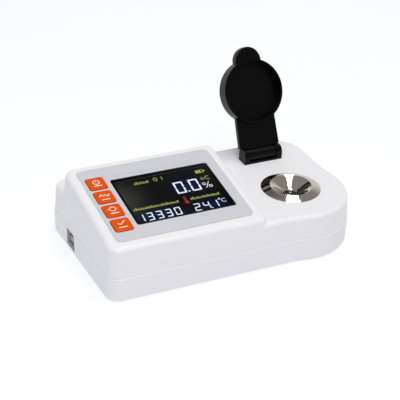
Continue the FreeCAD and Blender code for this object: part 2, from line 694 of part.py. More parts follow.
def shell_posts():
    """Bosses that hang from the underside: for the case screws, the boards and the display."""
    console, deck = console_frame(), deck_frame()
    posts = [rod(x, y, SEAM_HEIGHT, SCREW_BOSS_RADIUS, TALL) for x, y in screw_centres()]
    posts += [rod(x, y, MAIN_BOARD_TOP, POST_RADIUS, TALL) for x, y in main_board_points()]
    posts += [placed(rod(x, y, LCD_BOTTOM, POST_RADIUS, -LCD_BOTTOM), console) for x, y in display_lugs()]
    posts += [placed(rod(x, y, KEY_BOARD_TOP, POST_RADIUS, -KEY_BOARD_TOP), console)
              for x, y in key_board_points()]
    posts += [placed(rod(x, y, OPTICS_TOP, OPTICS_EAR / 2, -OPTICS_TOP), deck)
              for x, y in optics_points()]
    return posts


def shell_cuts():
    """Everything that is cut from the top shell."""
    console, deck = console_frame(), deck_frame()
    rabbet_top = SEAM_HEIGHT + LIP_HEIGHT + LIP_CLEARANCE
    rabbet_inset = WALL - LIP_THICKNESS - LIP_CLEARANCE
    cuts = [Part.makeLoft([case_outline(rabbet_inset, SEAM_HEIGHT - 2 * MARGIN),
                           case_outline(rabbet_inset, rabbet_top)], True, True)]
    keep = Part.makeLoft([case_outline(WALL + LIP_CLEARANCE, SEAM_HEIGHT - 3 * MARGIN),
                          case_outline(WALL + LIP_CLEARANCE, rabbet_top + MARGIN)], True, True)
    cuts[0] = cuts[0].cut(keep)
    plates = [rounded_plate(PANEL_LEFT - TRIM_CLEARANCE, PANEL_FRONT - TRIM_CLEARANCE,
                            PANEL_LEFT + PANEL_WIDTH + TRIM_CLEARANCE,
                            PANEL_FRONT + PANEL_HEIGHT + TRIM_CLEARANCE, PANEL_RADIUS, RECESS_FLOOR, TALL),
              window_plate(TRIM_CLEARANCE, WINDOW_LEDGE_Z, MARGIN),
              window_plate(-WINDOW_LEDGE, -WALL - MARGIN, MARGIN)]
    plates += [key_plate(c, KEY_GAP, -WALL - MARGIN, MARGIN) for c in key_centres()]
    lcd_bite = LCD_SCREW_LENGTH - LCD_FRAME_THICKNESS + SCREW_END_ROOM
    board_bite = SMALL_SCREW_LENGTH - BOARD_THICKNESS + SCREW_END_ROOM
    plates += [rod(x, y, LCD_BOTTOM - MARGIN, SMALL_SCREW_RADIUS, lcd_bite + MARGIN)
               for x, y in display_lugs()]
    plates += [rod(x, y, KEY_BOARD_TOP - MARGIN, SMALL_SCREW_RADIUS, board_bite + MARGIN)
               for x, y in key_board_points()]
    cuts += [placed(plate, console) for plate in plates]
    cuts += [rod(x, y, SEAM_HEIGHT - MARGIN, SCREW_RADIUS, SCREW_BITE + SCREW_END_ROOM + MARGIN)
             for x, y in screw_centres()]
    cuts += [rod(x, y, MAIN_BOARD_TOP - MARGIN, SMALL_SCREW_RADIUS, board_bite + MARGIN)
             for x, y in main_board_points()]
    holes = [rod(0, 0, -WELL_RIM, WELL_RADIUS + TRIM_CLEARANCE, WELL_RIM + MARGIN),
             rod(0, 0, -WALL - MARGIN, SPIGOT_RADIUS + SPIGOT_CLEARANCE, WALL + MARGIN), hinge_pocket()]
    holes += [rod(x, y, -WALL - MARGIN, PEG_RADIUS + HOLE_CLEARANCE, WALL + MARGIN)
              for x, y in hinge_peg_points()]
    optics_bite = OPTICS_SCREW_LENGTH - OPTICS_EAR_THICKNESS + SCREW_END_ROOM
    holes += [rod(x, y, OPTICS_TOP - MARGIN, SMALL_SCREW_RADIUS, optics_bite + MARGIN)
              for x, y in optics_points()]
    cuts += [placed(hole, deck) for hole in holes]
    return cuts


# Console pieces

def display_panel():
    plate = rounded_plate(PANEL_LEFT, PANEL_FRONT, PANEL_LEFT + PANEL_WIDTH, PANEL_FRONT + PANEL_HEIGHT,
                          PANEL_RADIUS, RECESS_FLOOR, PANEL_THICKNESS)
    cuts = [window_plate(TRIM_CLEARANCE, RECESS_FLOOR - MARGIN, MARGIN)]
    cuts += [key_plate(centre, KEY_GAP, RECESS_FLOOR - MARGIN, MARGIN) for centre in key_centres()]
    return placed(single(plate.cut(cuts)), console_frame())


def display_window():
    return placed(window_plate(0.0, WINDOW_LEDGE_Z, WINDOW_TOP), console_frame())


def lcd_module():
    return placed(lcd_box(LCD_OVERLAP, LCD_BOTTOM, LCD_TOP), console_frame())


def lcd_frame():
    """A tray round the back and the sides of the display module, with four screw lugs."""
    tray = lcd_box(LCD_OVERLAP + LCD_FRAME_WALL, LCD_FRAME_BOTTOM, LCD_TOP)
    lugs = []
    for x, y in display_lugs():
        inward = WINDOW_FRONT + WINDOW_HEIGHT / 2
        step = LCD_LUG_REACH if y < inward else -LCD_LUG_REACH
        low, high = min(y, y + step), max(y, y + step)
        lugs.append(rod(x, y, LCD_FRAME_BOTTOM, POST_RADIUS + 0.4, LCD_FRAME_THICKNESS))
        lugs.append(block(x - POST_RADIUS - 0.4, low, LCD_FRAME_BOTTOM, x + POST_RADIUS + 0.4, high,
                          LCD_FRAME_BOTTOM + LCD_FRAME_THICKNESS))
    frame = joined(tray, *lugs)
    cuts = [lcd_box(LCD_OVERLAP + TRIM_CLEARANCE, LCD_BOTTOM, LCD_TOP + MARGIN)]
    cuts += [rod(x, y, LCD_FRAME_BOTTOM - MARGIN, SMALL_SCREW_RADIUS + HOLE_CLEARANCE,
                 LCD_FRAME_THICKNESS + 2 * MARGIN) for x, y in display_lugs()]
    cuts += [rod(x, y, LCD_BOTTOM, POST_RADIUS + HOLE_CLEARANCE, LCD_THICKNESS + MARGIN)
             for x, y in display_lugs()]
    return placed(single(frame.cut(cuts)), console_frame())


def key_cap(centre):
    """One key: a rounded square cap, a flange under the shell that keeps it in and a short stem."""
    x, y = centre
    top = PANEL_PROUD + KEY_PROUD
    cap = key_plate(centre, 0.0, KEY_FLANGE_TOP - 0.1, top)
    crown = [e for e in cap.Edges if abs(e.BoundBox.ZMin - top) < 0.01]
    cap = cap.makeFillet(KEY_CROWN_RADIUS, crown)
    flange = key_plate(centre, KEY_FLANGE, KEY_FLANGE_TOP - KEY_FLANGE_THICKNESS, KEY_FLANGE_TOP)
    stem = rod(x, y, KEY_STEM_BOTTOM, PLUNGER_RADIUS + 0.6, KEY_FLANGE_TOP - KEY_STEM_BOTTOM)
    return placed(single(joined(cap, flange, stem)), console_frame())


def key_plunger(centre):
    x, y = centre
    bottom = SWITCH_TOP - PLUNGER_DEPTH
    return placed(rod(x, y, bottom, PLUNGER_RADIUS, KEY_STEM_BOTTOM - bottom), console_frame())


def key_switches():
    """Four square push switches, each with a bore that its plunger runs in."""
    pieces = []
    for x, y in key_centres():
        half = SWITCH_SIZE / 2
        body = block(x - half, y - half, KEY_BOARD_TOP, x + half, y + half, SWITCH_TOP)
        depth = PLUNGER_DEPTH + KEY_TRAVEL + PLUNGER_ROOM
        bore = rod(x, y, SWITCH_TOP - depth, PLUNGER_RADIUS + PLUNGER_CLEARANCE, depth + 1.0)
        pieces.append(placed(body.cut(bore).Solids[0], console_frame()))
    return Part.makeCompound(pieces)


def key_board():
    (x, front), (_, back) = key_board_points()
    half = KEY_WIDTH / 2 + KEY_FLANGE
    board = rounded_plate(x - half, front - POST_RADIUS, x + half, back + POST_RADIUS, BOARD_RADIUS,
                          KEY_BOARD_BOTTOM, BOARD_THICKNESS)
    holes = [rod(px, py, KEY_BOARD_BOTTOM - MARGIN, SMALL_SCREW_RADIUS + HOLE_CLEARANCE,
                 BOARD_THICKNESS + 2 * MARGIN) for px, py in key_board_points()]
    return placed(single(board.cut(holes)), console_frame())


# Sample well and optics

def sample_well():
    """One turning: rim, outer bevel, ridge, funnel down to the prism, and a spigot in the deck."""
    pocket = PRISM_WIDTH / 2 * math.sqrt(2) + 0.6
    seal_in, seal_out = SEAL_RING_RADIUS - SEAL_RADIUS, SEAL_RING_RADIUS + SEAL_RADIUS
    groove_top = HOLE_BOTTOM + 2 * SEAL_RADIUS
    ring = turned([
        (PRISM_HOLE_RADIUS, HOLE_BOTTOM), (PRISM_HOLE_RADIUS, -FUNNEL_DEPTH),
        (RIDGE_RADIUS - RIDGE_LAND / 2, RIDGE_HEIGHT), (RIDGE_RADIUS + RIDGE_LAND / 2, RIDGE_HEIGHT),
        (WELL_RADIUS, 0.1), (WELL_RADIUS, -WELL_RIM), (SPIGOT_RADIUS, -WELL_RIM),
        (SPIGOT_RADIUS, OPTICS_TOP), (pocket, OPTICS_TOP), (pocket, HOLE_BOTTOM),
        (seal_out, HOLE_BOTTOM), (seal_out, groove_top), (seal_in, groove_top), (seal_in, HOLE_BOTTOM),
    ])
    return placed(single(ring.cut(thermistor_rod(HOLE_CLEARANCE, 0.0))), deck_frame())


def prism_seal():
    ring = Part.makeTorus(SEAL_RING_RADIUS, SEAL_RADIUS, vec(0, 0, HOLE_BOTTOM + SEAL_RADIUS))
    return placed(ring, deck_frame())


def prism():
    """A trapezoid of glass: its top is the measuring face, light goes in and out of its slopes."""
    half, low = PRISM_WIDTH / 2, PRISM_WIDTH * 0.26
    shoulder = HOLE_BOTTOM - 1.4
    corners = [(-half, HOLE_BOTTOM), (half, HOLE_BOTTOM), (half, shoulder), (low, PRISM_UNDERSIDE),
               (-low, PRISM_UNDERSIDE), (-half, shoulder)]
    points = [vec(x, -half, z) for x, z in corners]
    return placed(Part.Face(Part.makePolygon(points + points[:1])).extrude(vec(0, PRISM_WIDTH, 0)),
                  deck_frame())


def along_beam(side, distance, across=0.0):
    """A point on the light's path below the prism's top face; side is -1 for the lamp, 1 for the sensor."""
    turn = math.radians(BEAM_ANGLE)
    down, out = math.cos(turn), math.sin(turn)
    return vec(side * (distance * out + across * down), 0,
               HOLE_BOTTOM - distance * down + across * out)


def beam_rod(side, start, end, radius):
    """A cylinder on the light's path, between two distances from the prism's top face."""
    first, last = along_beam(side, start), along_beam(side, end)
    return Part.makeCylinder(radius, end - start, first, last - first)


def beam_frame(side, distance):
    """A frame on the light's path: z points away from the prism, y along the case's depth."""
    turn = FreeCAD.Rotation(FreeCAD.Vector(0, 1, 0), side * (180.0 - BEAM_ANGLE))
    return FreeCAD.Placement(along_beam(side, distance), turn)


def optics_housing():
    """A black casting under the well: prism pocket, two light paths and four screw ears."""
    half_x, half_y = OPTICS_WIDTH / 2, OPTICS_DEPTH / 2
    body = rounded_plate(-half_x, -half_y, half_x, half_y, OPTICS_CORNER, OPTICS_BOTTOM, OPTICS_HEIGHT)
    ears = []
    for x, y in optics_points():
        inner = x - math.copysign(OPTICS_EAR, x)
        ears.append(rod(x, y, OPTICS_TOP - OPTICS_EAR_THICKNESS, OPTICS_EAR / 2, OPTICS_EAR_THICKNESS))
        ears.append(block(min(x, inner), y - OPTICS_EAR / 2, OPTICS_TOP - OPTICS_EAR_THICKNESS,
                          max(x, inner), y + OPTICS_EAR / 2, OPTICS_TOP))
    pocket = PRISM_WIDTH / 2 + HOLE_CLEARANCE
    edge = -SENSOR_BOARD_HEIGHT / 2 - 3 * HOLE_CLEARANCE
    off_side = placed(block(edge, -TALL, 0, TALL, TALL, TALL), beam_frame(1, SENSOR_DISTANCE))
    wide, long = CHIP_WIDTH / 2 + HOLE_CLEARANCE, CHIP_LENGTH / 2 + HOLE_CLEARANCE
    chip = placed(block(-wide, -long, -CHIP_THICKNESS - 2 * HOLE_CLEARANCE, wide, long, MARGIN),
                  beam_frame(1, SENSOR_DISTANCE))
    cuts = [block(-pocket, -pocket, PRISM_UNDERSIDE, pocket, pocket, 0.0), off_side, chip,
            beam_rod(-1, BEAM_START, LED_DISTANCE, BEAM_RADIUS * 0.7),
            beam_rod(-1, LED_DISTANCE, TALL, LED_RADIUS),
            beam_rod(1, BEAM_START, LENS_DISTANCE, BEAM_RADIUS),
            beam_rod(1, LENS_DISTANCE, TALL, LENS_RADIUS), thermistor_rod(HOLE_CLEARANCE, MARGIN)]
    bite = SENSOR_SCREW_BITE + SCREW_END_ROOM
    cuts += [placed(rod(0, y, -bite, SMALL_SCREW_RADIUS, bite + MARGIN), beam_frame(1, SENSOR_DISTANCE))
             for y in (-SENSOR_SCREW_REACH, SENSOR_SCREW_REACH)]
    cuts += [rod(x, y, OPTICS_TOP - OPTICS_HOLE_DEPTH, SMALL_SCREW_RADIUS + HOLE_CLEARANCE,
                 OPTICS_HOLE_DEPTH + MARGIN) for x, y in optics_points()]
    return placed(single(joined(body, *ears).cut(cuts)), deck_frame())


def lens():
    """A biconvex lens: two spheres' caps meeting in a short cylinder."""
    depth = LENS_THICKNESS * 0.35
    radius = (LENS_RADIUS ** 2 + depth ** 2) / (2 * depth)
    disc = rod(0, 0, 0, LENS_RADIUS, LENS_THICKNESS)
    near = Part.makeSphere(radius, vec(0, 0, radius))
    far = Part.makeSphere(radius, vec(0, 0, LENS_THICKNESS - radius))
    shape = disc.common(near).common(far).Solids[0]
    return placed(placed(shape, beam_frame(1, LENS_DISTANCE)), deck_frame())


def light_source():
    """A round lamp with a domed nose towards the prism and a flange at its back."""
    body = rod(0, 0, LED_RADIUS, LED_RADIUS, LED_LENGTH - LED_RADIUS)
    lamp = joined(body, Part.makeSphere(LED_RADIUS, vec(0, 0, LED_RADIUS)))
    return placed(placed(single(lamp), beam_frame(-1, LED_DISTANCE)), deck_frame())


def line_sensor():
    chip = block(-CHIP_WIDTH / 2, -CHIP_LENGTH / 2, -CHIP_THICKNESS, CHIP_WIDTH / 2, CHIP_LENGTH / 2, 0.0)
    return placed(placed(chip, beam_frame(1, SENSOR_DISTANCE)), deck_frame())


def sensor_board():
    board = rounded_plate(-SENSOR_BOARD_HEIGHT / 2, -SENSOR_BOARD_WIDTH / 2, SENSOR_BOARD_HEIGHT / 2,
                          SENSOR_BOARD_WIDTH / 2, BOARD_RADIUS, 0.0, BOARD_THICKNESS)
    holes = [rod(0, y, -MARGIN, SMALL_SCREW_RADIUS + HOLE_CLEARANCE, BOARD_THICKNESS + 2 * MARGIN)
             for y in (-SENSOR_SCREW_REACH, SENSOR_SCREW_REACH)]
    return placed(placed(single(board.cut(holes)), beam_frame(1, SENSOR_DISTANCE)), deck_frame())


def sensor_screws():
    """Two screws that hold the sensor's board on the housing, heads outwards."""
    pieces = []
    for y in (-SENSOR_SCREW_REACH, SENSOR_SCREW_REACH):
        piece = screw(SMALL_SCREW_RADIUS, BOARD_THICKNESS + SENSOR_SCREW_BITE, SMALL_HEAD_RADIUS,
                      SMALL_HEAD_HEIGHT)
        piece.rotate(vec(0, 0, 0), X_AXIS, 180)
        piece.translate(vec(0, y, BOARD_THICKNESS))
        pieces.append(placed(placed(piece, beam_frame(1, SENSOR_DISTANCE)), deck_frame()))
    return Part.makeCompound(pieces)


def thermistor_rod(grown, longer):
    """The temperature probe's place, in the front of the well's spigot."""
    bottom = OPTICS_TOP - THERMISTOR_LENGTH + 1.5 - longer
    return rod(0, -THERMISTOR_PLACE, bottom, THERMISTOR_RADIUS + grown, THERMISTOR_LENGTH + longer)


def temperature_probe():
    return placed(thermistor_rod(0.0, 0.0), deck_frame())


# Hinge and flip cover, drawn closed in the deck's frame

def axis_rod(radius, x0, x1):
    """A cylinder on the hinge's axis."""
    return rod(x0, HINGE_DISTANCE, HINGE_HEIGHT, radius, x1 - x0, X_AXIS)


def hinge_profile():
    """The ear's outline: flat on the deck, round over the axis, and cut off at the back by the
    slope that the lower edge of the open cover's arm rests on."""
    y, z, r, base = HINGE_DISTANCE, HINGE_HEIGHT, EAR_RADIUS, -HINGE_POCKET
    rest = math.radians(180.0 - OPEN_ANGLE)
    along, up = math.cos(rest), math.sin(rest)
    mid = (math.pi + rest) / 2
    round_end = vec(0, y + r * along, z + r * up)
    stop_start = vec(0, y + ARM_START * along, z + ARM_START * up)
    stop_end = vec(0, y + r, z + (ARM_START - r * along) / up)
    front_top, front_low, back_low = vec(0, y - r, z), vec(0, y - r, base), vec(0, y + r, base)
    top = vec(0, y + r * math.cos(mid), z + r * math.sin(mid))
    return [Part.makeLine(front_low, front_top), Part.Arc(front_top, top, round_end).toShape(),
            Part.makeLine(round_end, stop_start), Part.makeLine(stop_start, stop_end),
            Part.makeLine(stop_end, back_low), Part.makeLine(back_low, front_low)]


def hinge_pocket():
    return block(-HINGE_WIDTH / 2 - TRIM_CLEARANCE, HINGE_DISTANCE - EAR_RADIUS - TRIM_CLEARANCE,
                 -HINGE_POCKET, HINGE_WIDTH / 2 + TRIM_CLEARANCE,
                 HINGE_DISTANCE + EAR_RADIUS + TRIM_CLEARANCE, MARGIN)


def hinge_base():
    """Two ears on a plate that is hollowed for the cover's knuckle, and two pegs in the deck. The
    pin's hole is open on the right and stops short of the left ear's face."""
    half = HINGE_WIDTH / 2
    inner = half - EAR_THICKNESS
    body = side_extrusion(hinge_profile(), -half, half)
    pegs = [rod(x, y, HOLE_CLEARANCE - WALL, PEG_RADIUS, WALL) for x, y in hinge_peg_points()]
    room = block(-inner, HINGE_DISTANCE - TALL, CRADLE_LIP, inner, HINGE_DISTANCE + TALL, TALL)
    cuts = [room, axis_rod(KNUCKLE_RADIUS + KNUCKLE_GAP, -inner, inner),
            axis_rod(PIN_RADIUS, PIN_COVERED - half, half)]
    cuts += [rod(x, y, -WALL, SMALL_SCREW_RADIUS, WALL + HINGE_SCREW_BITE + SCREW_END_ROOM)
             for x, y in hinge_peg_points()]
    return placed(single(joined(body, *pegs).cut(cuts)), deck_frame())


def hinge_pin():
    half = HINGE_WIDTH / 2
    pin = axis_rod(PIN_RADIUS, PIN_COVERED - half, half)
    ends = [e for e in pin.Edges if e.BoundBox.XLength < 0.01]
    return placed(pin.makeChamfer(PIN_CHAMFER, ends), deck_frame())


def hinge_screws():
    """Two screws that clamp the hinge base from under the deck."""
    pieces = []
    for x, y in hinge_peg_points():
        piece = screw(SMALL_SCREW_RADIUS, WALL + HINGE_SCREW_BITE, SCREW_HEAD_RADIUS, SMALL_HEAD_HEIGHT)
        piece.translate(vec(x, y, -WALL))
        pieces.append(placed(piece, deck_frame()))
    return Part.makeCompound(pieces)


def swing(shape, degrees):
    """Turn something drawn closed about the hinge, upwards and back."""
    turned_shape = shape.copy()
    turned_shape.rotate(vec(0, HINGE_DISTANCE, HINGE_HEIGHT), X_AXIS, -degrees)
    return turned_shape


def cover_cup():
    """The round lid: a stepped cup that faces down when it is closed."""
    low, high = COVER_GAP, COVER_GAP + COVER_THICKNESS
    inner = COVER_RADIUS - COVER_WALL
    cup = turned([(0, high), (COVER_RADIUS, high), (COVER_RADIUS, low), (inner, low),
                  (inner, low + CUP_STEP_DEPTH), (inner - CUP_STEP, low + CUP_STEP_DEPTH),
                  (inner - CUP_STEP, low + CUP_DEPTH), (0, low + CUP_DEPTH)])
    back_edge = [e for e in cup.Edges if abs(e.BoundBox.ZMin - high) < 0.01 and e.BoundBox.YLength > 1.0]
    return cup.makeFillet(COVER_BACK_RADIUS, back_edge)


def cover_tab():
    """The thumb tab: a round lobe at the lid's front."""
    high = COVER_GAP + COVER_THICKNESS - TAB_BELOW_TOP
    lobe = rod(0, TAB_RADIUS - COVER_RADIUS - TAB_REACH, high - TAB_THICKNESS, TAB_RADIUS, TAB_THICKNESS)
    level = [e for e in lobe.Edges if e.BoundBox.ZLength < 0.01]
    return lobe.makeFillet(TAB_EDGE_RADIUS, level).cut(cup_filling())


def cup_filling():
    """The space inside the lid's wall, which what joins the wall from outside stops short of."""
    return rod(0, 0, -TALL, COVER_RADIUS - COVER_WALL * 0.7, 2 * TALL)


def cover_arm():
    """A flat arm that widens from the lid to its foot, with a shallow dimple on the inside, and a
    narrower web on to the knuckle."""
    low, high = HINGE_HEIGHT + ARM_ABOVE_AXIS, HINGE_HEIGHT + ARM_ABOVE_AXIS + ARM_THICKNESS
    start, end = COVER_RADIUS * 0.5, HINGE_DISTANCE - ARM_START
    foot, top = ARM_FOOT_WIDTH / 2, ARM_TOP_WIDTH / 2
    corners = [vec(-foot, end, low), vec(foot, end, low), vec(top, start, low), vec(-top, start, low)]
    plate = Part.Face(Part.makePolygon(corners + corners[:1])).extrude(vec(0, 0, ARM_THICKNESS))
    back = [e for e in plate.Edges if e.BoundBox.ZMin > high - 0.01 and e.BoundBox.YLength > MARGIN]
    plate = plate.makeFillet(ARM_EDGE_RADIUS, back).cut(cup_filling())
    middle = HINGE_DISTANCE - ARM_DIMPLE_PLACE
    plate = plate.cut(block(-ARM_DIMPLE_LENGTH / 2, middle - ARM_DIMPLE_WIDTH / 2, low,
                            ARM_DIMPLE_LENGTH / 2, middle + ARM_DIMPLE_WIDTH / 2, low + ARM_DIMPLE_DEPTH))
    inner = HINGE_WIDTH / 2 - EAR_THICKNESS - KNUCKLE_GAP
    return joined(plate, block(-inner, end - MARGIN, low, inner, HINGE_DISTANCE, high))


def flip_cover():
    """Lid, tab, arm and knuckle in one moulding, swung open."""
    inner = HINGE_WIDTH / 2 - EAR_THICKNESS - KNUCKLE_GAP
    cover = joined(cover_cup(), cover_arm(), axis_rod(KNUCKLE_RADIUS, -inner, inner), cover_tab())
    cover = cover.cut(axis_rod(PIN_RADIUS + PIN_CLEARANCE, -HINGE_WIDTH, HINGE_WIDTH))
    return placed(swing(single(cover), OPEN_ANGLE), deck_frame())


def origin():
    """The middle of the footprint of everything with the cover open, at the feet's height."""
    tab_back = COVER_GAP + COVER_THICKNESS - TAB_BELOW_TOP - TAB_EDGE_RADIUS
    tip = vec(0, -COVER_RADIUS - TAB_REACH, tab_back)
    open_tip = deck_frame().multVec(swing(Part.Vertex(tip), OPEN_ANGLE).Point)
    front = WELL_Y - LOBE_RADIUS
    return vec((WELL_X + LOBE_RADIUS) / 2, (front + open_tip.y) / 2, 0)


def pieces():
    """Every separate piece, by its node's name."""
    console, deck = console_frame(), deck_frame()
    parts = {
        "bottom_shell": bottom_shell(), "top_shell": top_shell(), "feet": feet(),
        "case_screws": case_screws(), "battery_pack": battery_pack(), "main_board": main_board(),
        "board_components": board_components(),
        "main_board_screws": small_screws(main_board_points(), MAIN_BOARD_BOTTOM, SMALL_SCREW_LENGTH),
        "socket_can": socket_can(), "socket_core": socket_core(),
        "display_panel": display_panel(), "display_window": display_window(),
        "lcd_module": lcd_module(), "lcd_frame": lcd_frame(),
        "lcd_screws": small_screws(display_lugs(), LCD_FRAME_BOTTOM, LCD_SCREW_LENGTH, console),
        "key_switches": key_switches(), "key_board": key_board(),
        "key_board_screws": small_screws(key_board_points(), KEY_BOARD_BOTTOM, SMALL_SCREW_LENGTH,
                                         console),
        "sample_well": sample_well(), "prism": prism(), "prism_seal": prism_seal(),
        "optics_housing": optics_housing(), "lens": lens(), "light_source": light_source(),
        "line_sensor": line_sensor(), "sensor_board": sensor_board(), "sensor_screws": sensor_screws(),
        "temperature_probe": temperature_probe(),
        "optics_screws": small_screws(optics_points(), OPTICS_TOP - OPTICS_EAR_THICKNESS,
                                      OPTICS_SCREW_LENGTH, deck),
        "hinge_base": hinge_base(), "hinge_pin": hinge_pin(), "hinge_screws": hinge_screws(),
        "flip_cover": flip_cover(),
    }
    for number, centre in enumerate(reversed(key_centres()), start=1):
        parts[f"key_{number}"] = key_cap(centre)
        parts[f"key_plunger_{number}"] = key_plunger(centre)
    return parts


def main():
    os.makedirs("parts", exist_ok=True)
    shift = origin() * -1
    for name, shape in pieces().items():
        shape.translate(shift)
        assert shape.isValid(), name
        shape.exportStep(os.path.join("parts", name + ".step"))
    print("origin at", origin())


main()
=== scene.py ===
import json
import math

import bmesh
import bpy
from mathutils import Matrix, Vector


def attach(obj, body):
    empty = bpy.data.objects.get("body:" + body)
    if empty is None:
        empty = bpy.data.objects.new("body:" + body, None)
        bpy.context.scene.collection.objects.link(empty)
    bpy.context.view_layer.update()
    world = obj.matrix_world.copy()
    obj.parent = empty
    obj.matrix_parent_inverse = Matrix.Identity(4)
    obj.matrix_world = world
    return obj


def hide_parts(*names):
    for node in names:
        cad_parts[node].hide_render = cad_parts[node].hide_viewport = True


# Benchtop digital refractometer. Sizes are millimetres until a mesh is made, in the same frame
# as the CAD: +X to the right, +Y to the back, +Z up, origin under the middle of the footprint.

MM = 0.001

# Frames of the sloped console and of the deck, from the console's front left corner and from
# the well's centre
CONSOLE_CORNER = (-86.1, -52.609, 34.5)
CONSOLE_SLOPE = 10.07
WELL_CENTRE = (49.3, -17.409, 32.134)
DECK_SLOPE = 1.52

# Camera, solved from the photograph's edges: a square picture, its centre on the lens's axis.
# The lens and its sensor are millimetres, the range of sight metres.
CAMERA_TARGET = (-2.674, 4.101, 22.991)
CAMERA_AZIMUTH = 26.88
CAMERA_ELEVATION = 28.80
CAMERA_ROLL = 2.357
CAMERA_DISTANCE = 777.3
CAMERA_LENS = 112.2
CAMERA_SENSOR = 36.0
CAMERA_RANGE = (0.05, 20.0)

# Surround: even but for a dark patch, given by its direction and the cosines of its soft edge,
# and for a bright horizon, which fades with height and toward the front
SKY_COLOUR = (0.95, 0.958, 1.0, 1.0)
SKY_BRIGHT = 0.30
SKY_DIM = 0.04
DARK_DIRECTION = (0.313, 0.618, 0.719)
DARK_EDGE = (0.93, 0.985)
HORIZON = 0.78
HORIZON_HEIGHTS = (0.3, 0.75)
FRONT_DIRECTION = (-0.45, -0.89, 0.0)
FRONT_FADE = (0.0, 0.5)

# Floor: half its side in metres, and the light that it gives by itself
FLOOR_HALF = 6.0
FLOOR_TONES = ("#989898", "#949494")
FLOOR_LIGHT = (0.95, 0.96, 1.0, 1.0)
FLOOR_GLOW = 0.70

# Soft boxes: name, place and two sides in metres, the point it faces and its power in watts.
# Their first sides are level and lie across the picture.
SOFT_BOXES = [
    ("soft_box_above", (0.30, 0.04, 1.60), (0.44, 1.05), (0.30, 0.04, 0.0), 9.5),
    ("soft_box_front", (-0.38, -0.76, 1.36), (1.0, 1.0), (0.0, 0.0, 0.0), 14.0),
]
SOFT_BOX_TURN = -26.9
SOFT_BOX_COLOUR = (1.0, 0.985, 0.95)

# Display glass, in the console's frame. The black border is a wedge in section: as high as the
# glass at its outer edge, and a thin film at its inner one.
GLASS_LOW = (24.8, 19.1)
GLASS_SIZE = (64.2, 44.0)
GLASS_TOP = 0.15
GLASS_THICKNESS = 1.5
GLASS_RADIUS = 1.6
GLASS_EDGE = 0.12
GLASS_BOTTOM = GLASS_TOP - GLASS_THICKNESS
GLASS_CENTRE = [low + size / 2 for low, size in zip(GLASS_LOW, GLASS_SIZE)]
BORDER_INSET = 0.06
BORDER_SHOULDER = 0.4
BORDER_WIDTH = 2.0
BORDER_CLEARANCE = (0.04, 0.13)
BORDER_FILM = 0.05
BORDER_MIN_RADIUS = 0.6

# Grey rule printed on the panel behind the glass: its distance from it, how far it stops short of
# the glass's ends, its width and how far it stands up
PANEL_TOP = 0.25
RULE_DISTANCE = 3.5
RULE_ENDS = (1.8, 1.0)
RULE_WIDTH = 0.22
RULE_RISE = 0.02

# How far every print on the panel and the keys reaches into the face that carries it
PRINT_SINK = 0.05

# Lit marks of the display, in the console's frame
MARK_Z = -2.19
MARK_THICKNESS = 0.05
FIGURE_LEAN = 0.06
SEGMENT_GAP = 0.14
SEGMENTS = {"0": "abcdef", "1": "bc", "2": "abged", "3": "abgcd", "4": "fgbc"}

# Figures: text, lower left corner, a figure's width and height, pitch and stroke
FIGURES = [
    ("00", 61.2, 41.6, 5.1, 9.8, 9.9, 1.05),
    ("13330", 28.5, 23.4, 3.2, 6.1, 5.9, 0.72),
    ("24", 64.7, 23.3, 3.3, 5.9, 6.2, 0.68),
    ("1", 76.3, 23.3, 3.3, 5.9, 6.9, 0.68),
]

# Decimal points: centre and radius
POINTS = [(68.4, 41.8, 0.65), (75.0, 23.2, 0.42)]

# Rings of the percent sign and the degree signs: centre, radius and stroke
PERCENT_RINGS = [(79.9, 45.7, 1.0, 0.42), (83.2, 42.9, 1.0, 0.42)]
PERCENT_BAR = [(79.8, 41.6), (83.5, 47.1)]
PERCENT_STROKE = 0.4
LOWER_DEGREE = (82.3, 29.7, 0.6, 0.34)
UPPER_DEGREE = (80.9, 50.7, 0.95, 0.28)

# The two letters C: centre. Each is an arc between two angles.
LOWER_LETTER = (84.8, 27.9)
UPPER_LETTER = (84.6, 51.0)
LETTER_RADIUS = 1.5
LETTER_ARC = (50, 310)
LETTER_STROKE = 0.34

# Battery sign: the case's corners, its tip and the two bars in it
BATTERY_CASE = [(79.7, 56.5), (84.6, 56.5), (84.6, 59.1), (79.7, 59.1)]
BATTERY_STROKE = 0.22
BATTERY_TIP = [(84.8, 57.2), (86.0, 57.6), (86.0, 58.0), (84.8, 58.4)]
BATTERY_BARS = [80.2, 81.8]
BATTERY_BAR_WIDTH = 1.2
BATTERY_BAR_ENDS = (56.8, 58.8)

# Small nought and one at the top: the nought is a narrow oval
NOUGHT = (52.9, 58.3, 1.5)
NOUGHT_NARROWING = 0.72
SMALL_ONE = [(57.0, 56.7), (57.3, 59.9)]
SMALL_STROKE = 0.36

# Rows of bars: lower left corner, length and height, then the bars' pitch, the part of the pitch
# that a bar fills, and how the bars' heights vary along a row
BAR_ROWS = [(38.9, 56.6, 11.0, 2.7), (29.0, 33.6, 29.6, 2.5), (65.8, 33.6, 20.9, 2.5)]
BAR_PITCH = 1.4
BAR_FILL = 0.45
BAR_RISES = (0.6, 0.95, 0.55, 0.7, 0.6, 0.5, 0.85)

# Thermometer sign: its bulb's centre and radius, and its stem
THERMOMETER_BULB = (62.6, 32.4, 1.5)
THERMOMETER_STEM = [(61.9, 33.4), (63.3, 33.4), (63.4, 37.2), (63.0, 37.8), (62.3, 37.8), (61.9, 37.2)]

# Soft spots on the display: navy light from the backlight round the figures, and a grey painted reflection
# at the left. Middle, half width, half height, colour
DISPLAY_GLOW_AND_PAINTED_REFLECTION = [
    (68, 46, 17, 12, "#031142"),
    (42, 26, 26, 9, "#041446"),
    (76, 26, 20, 9, "#041446"),
    # Grey spot at the left: a painted reflection, drawn as emitted light
    (24, 46, 26, 32, "#42423F"),
]

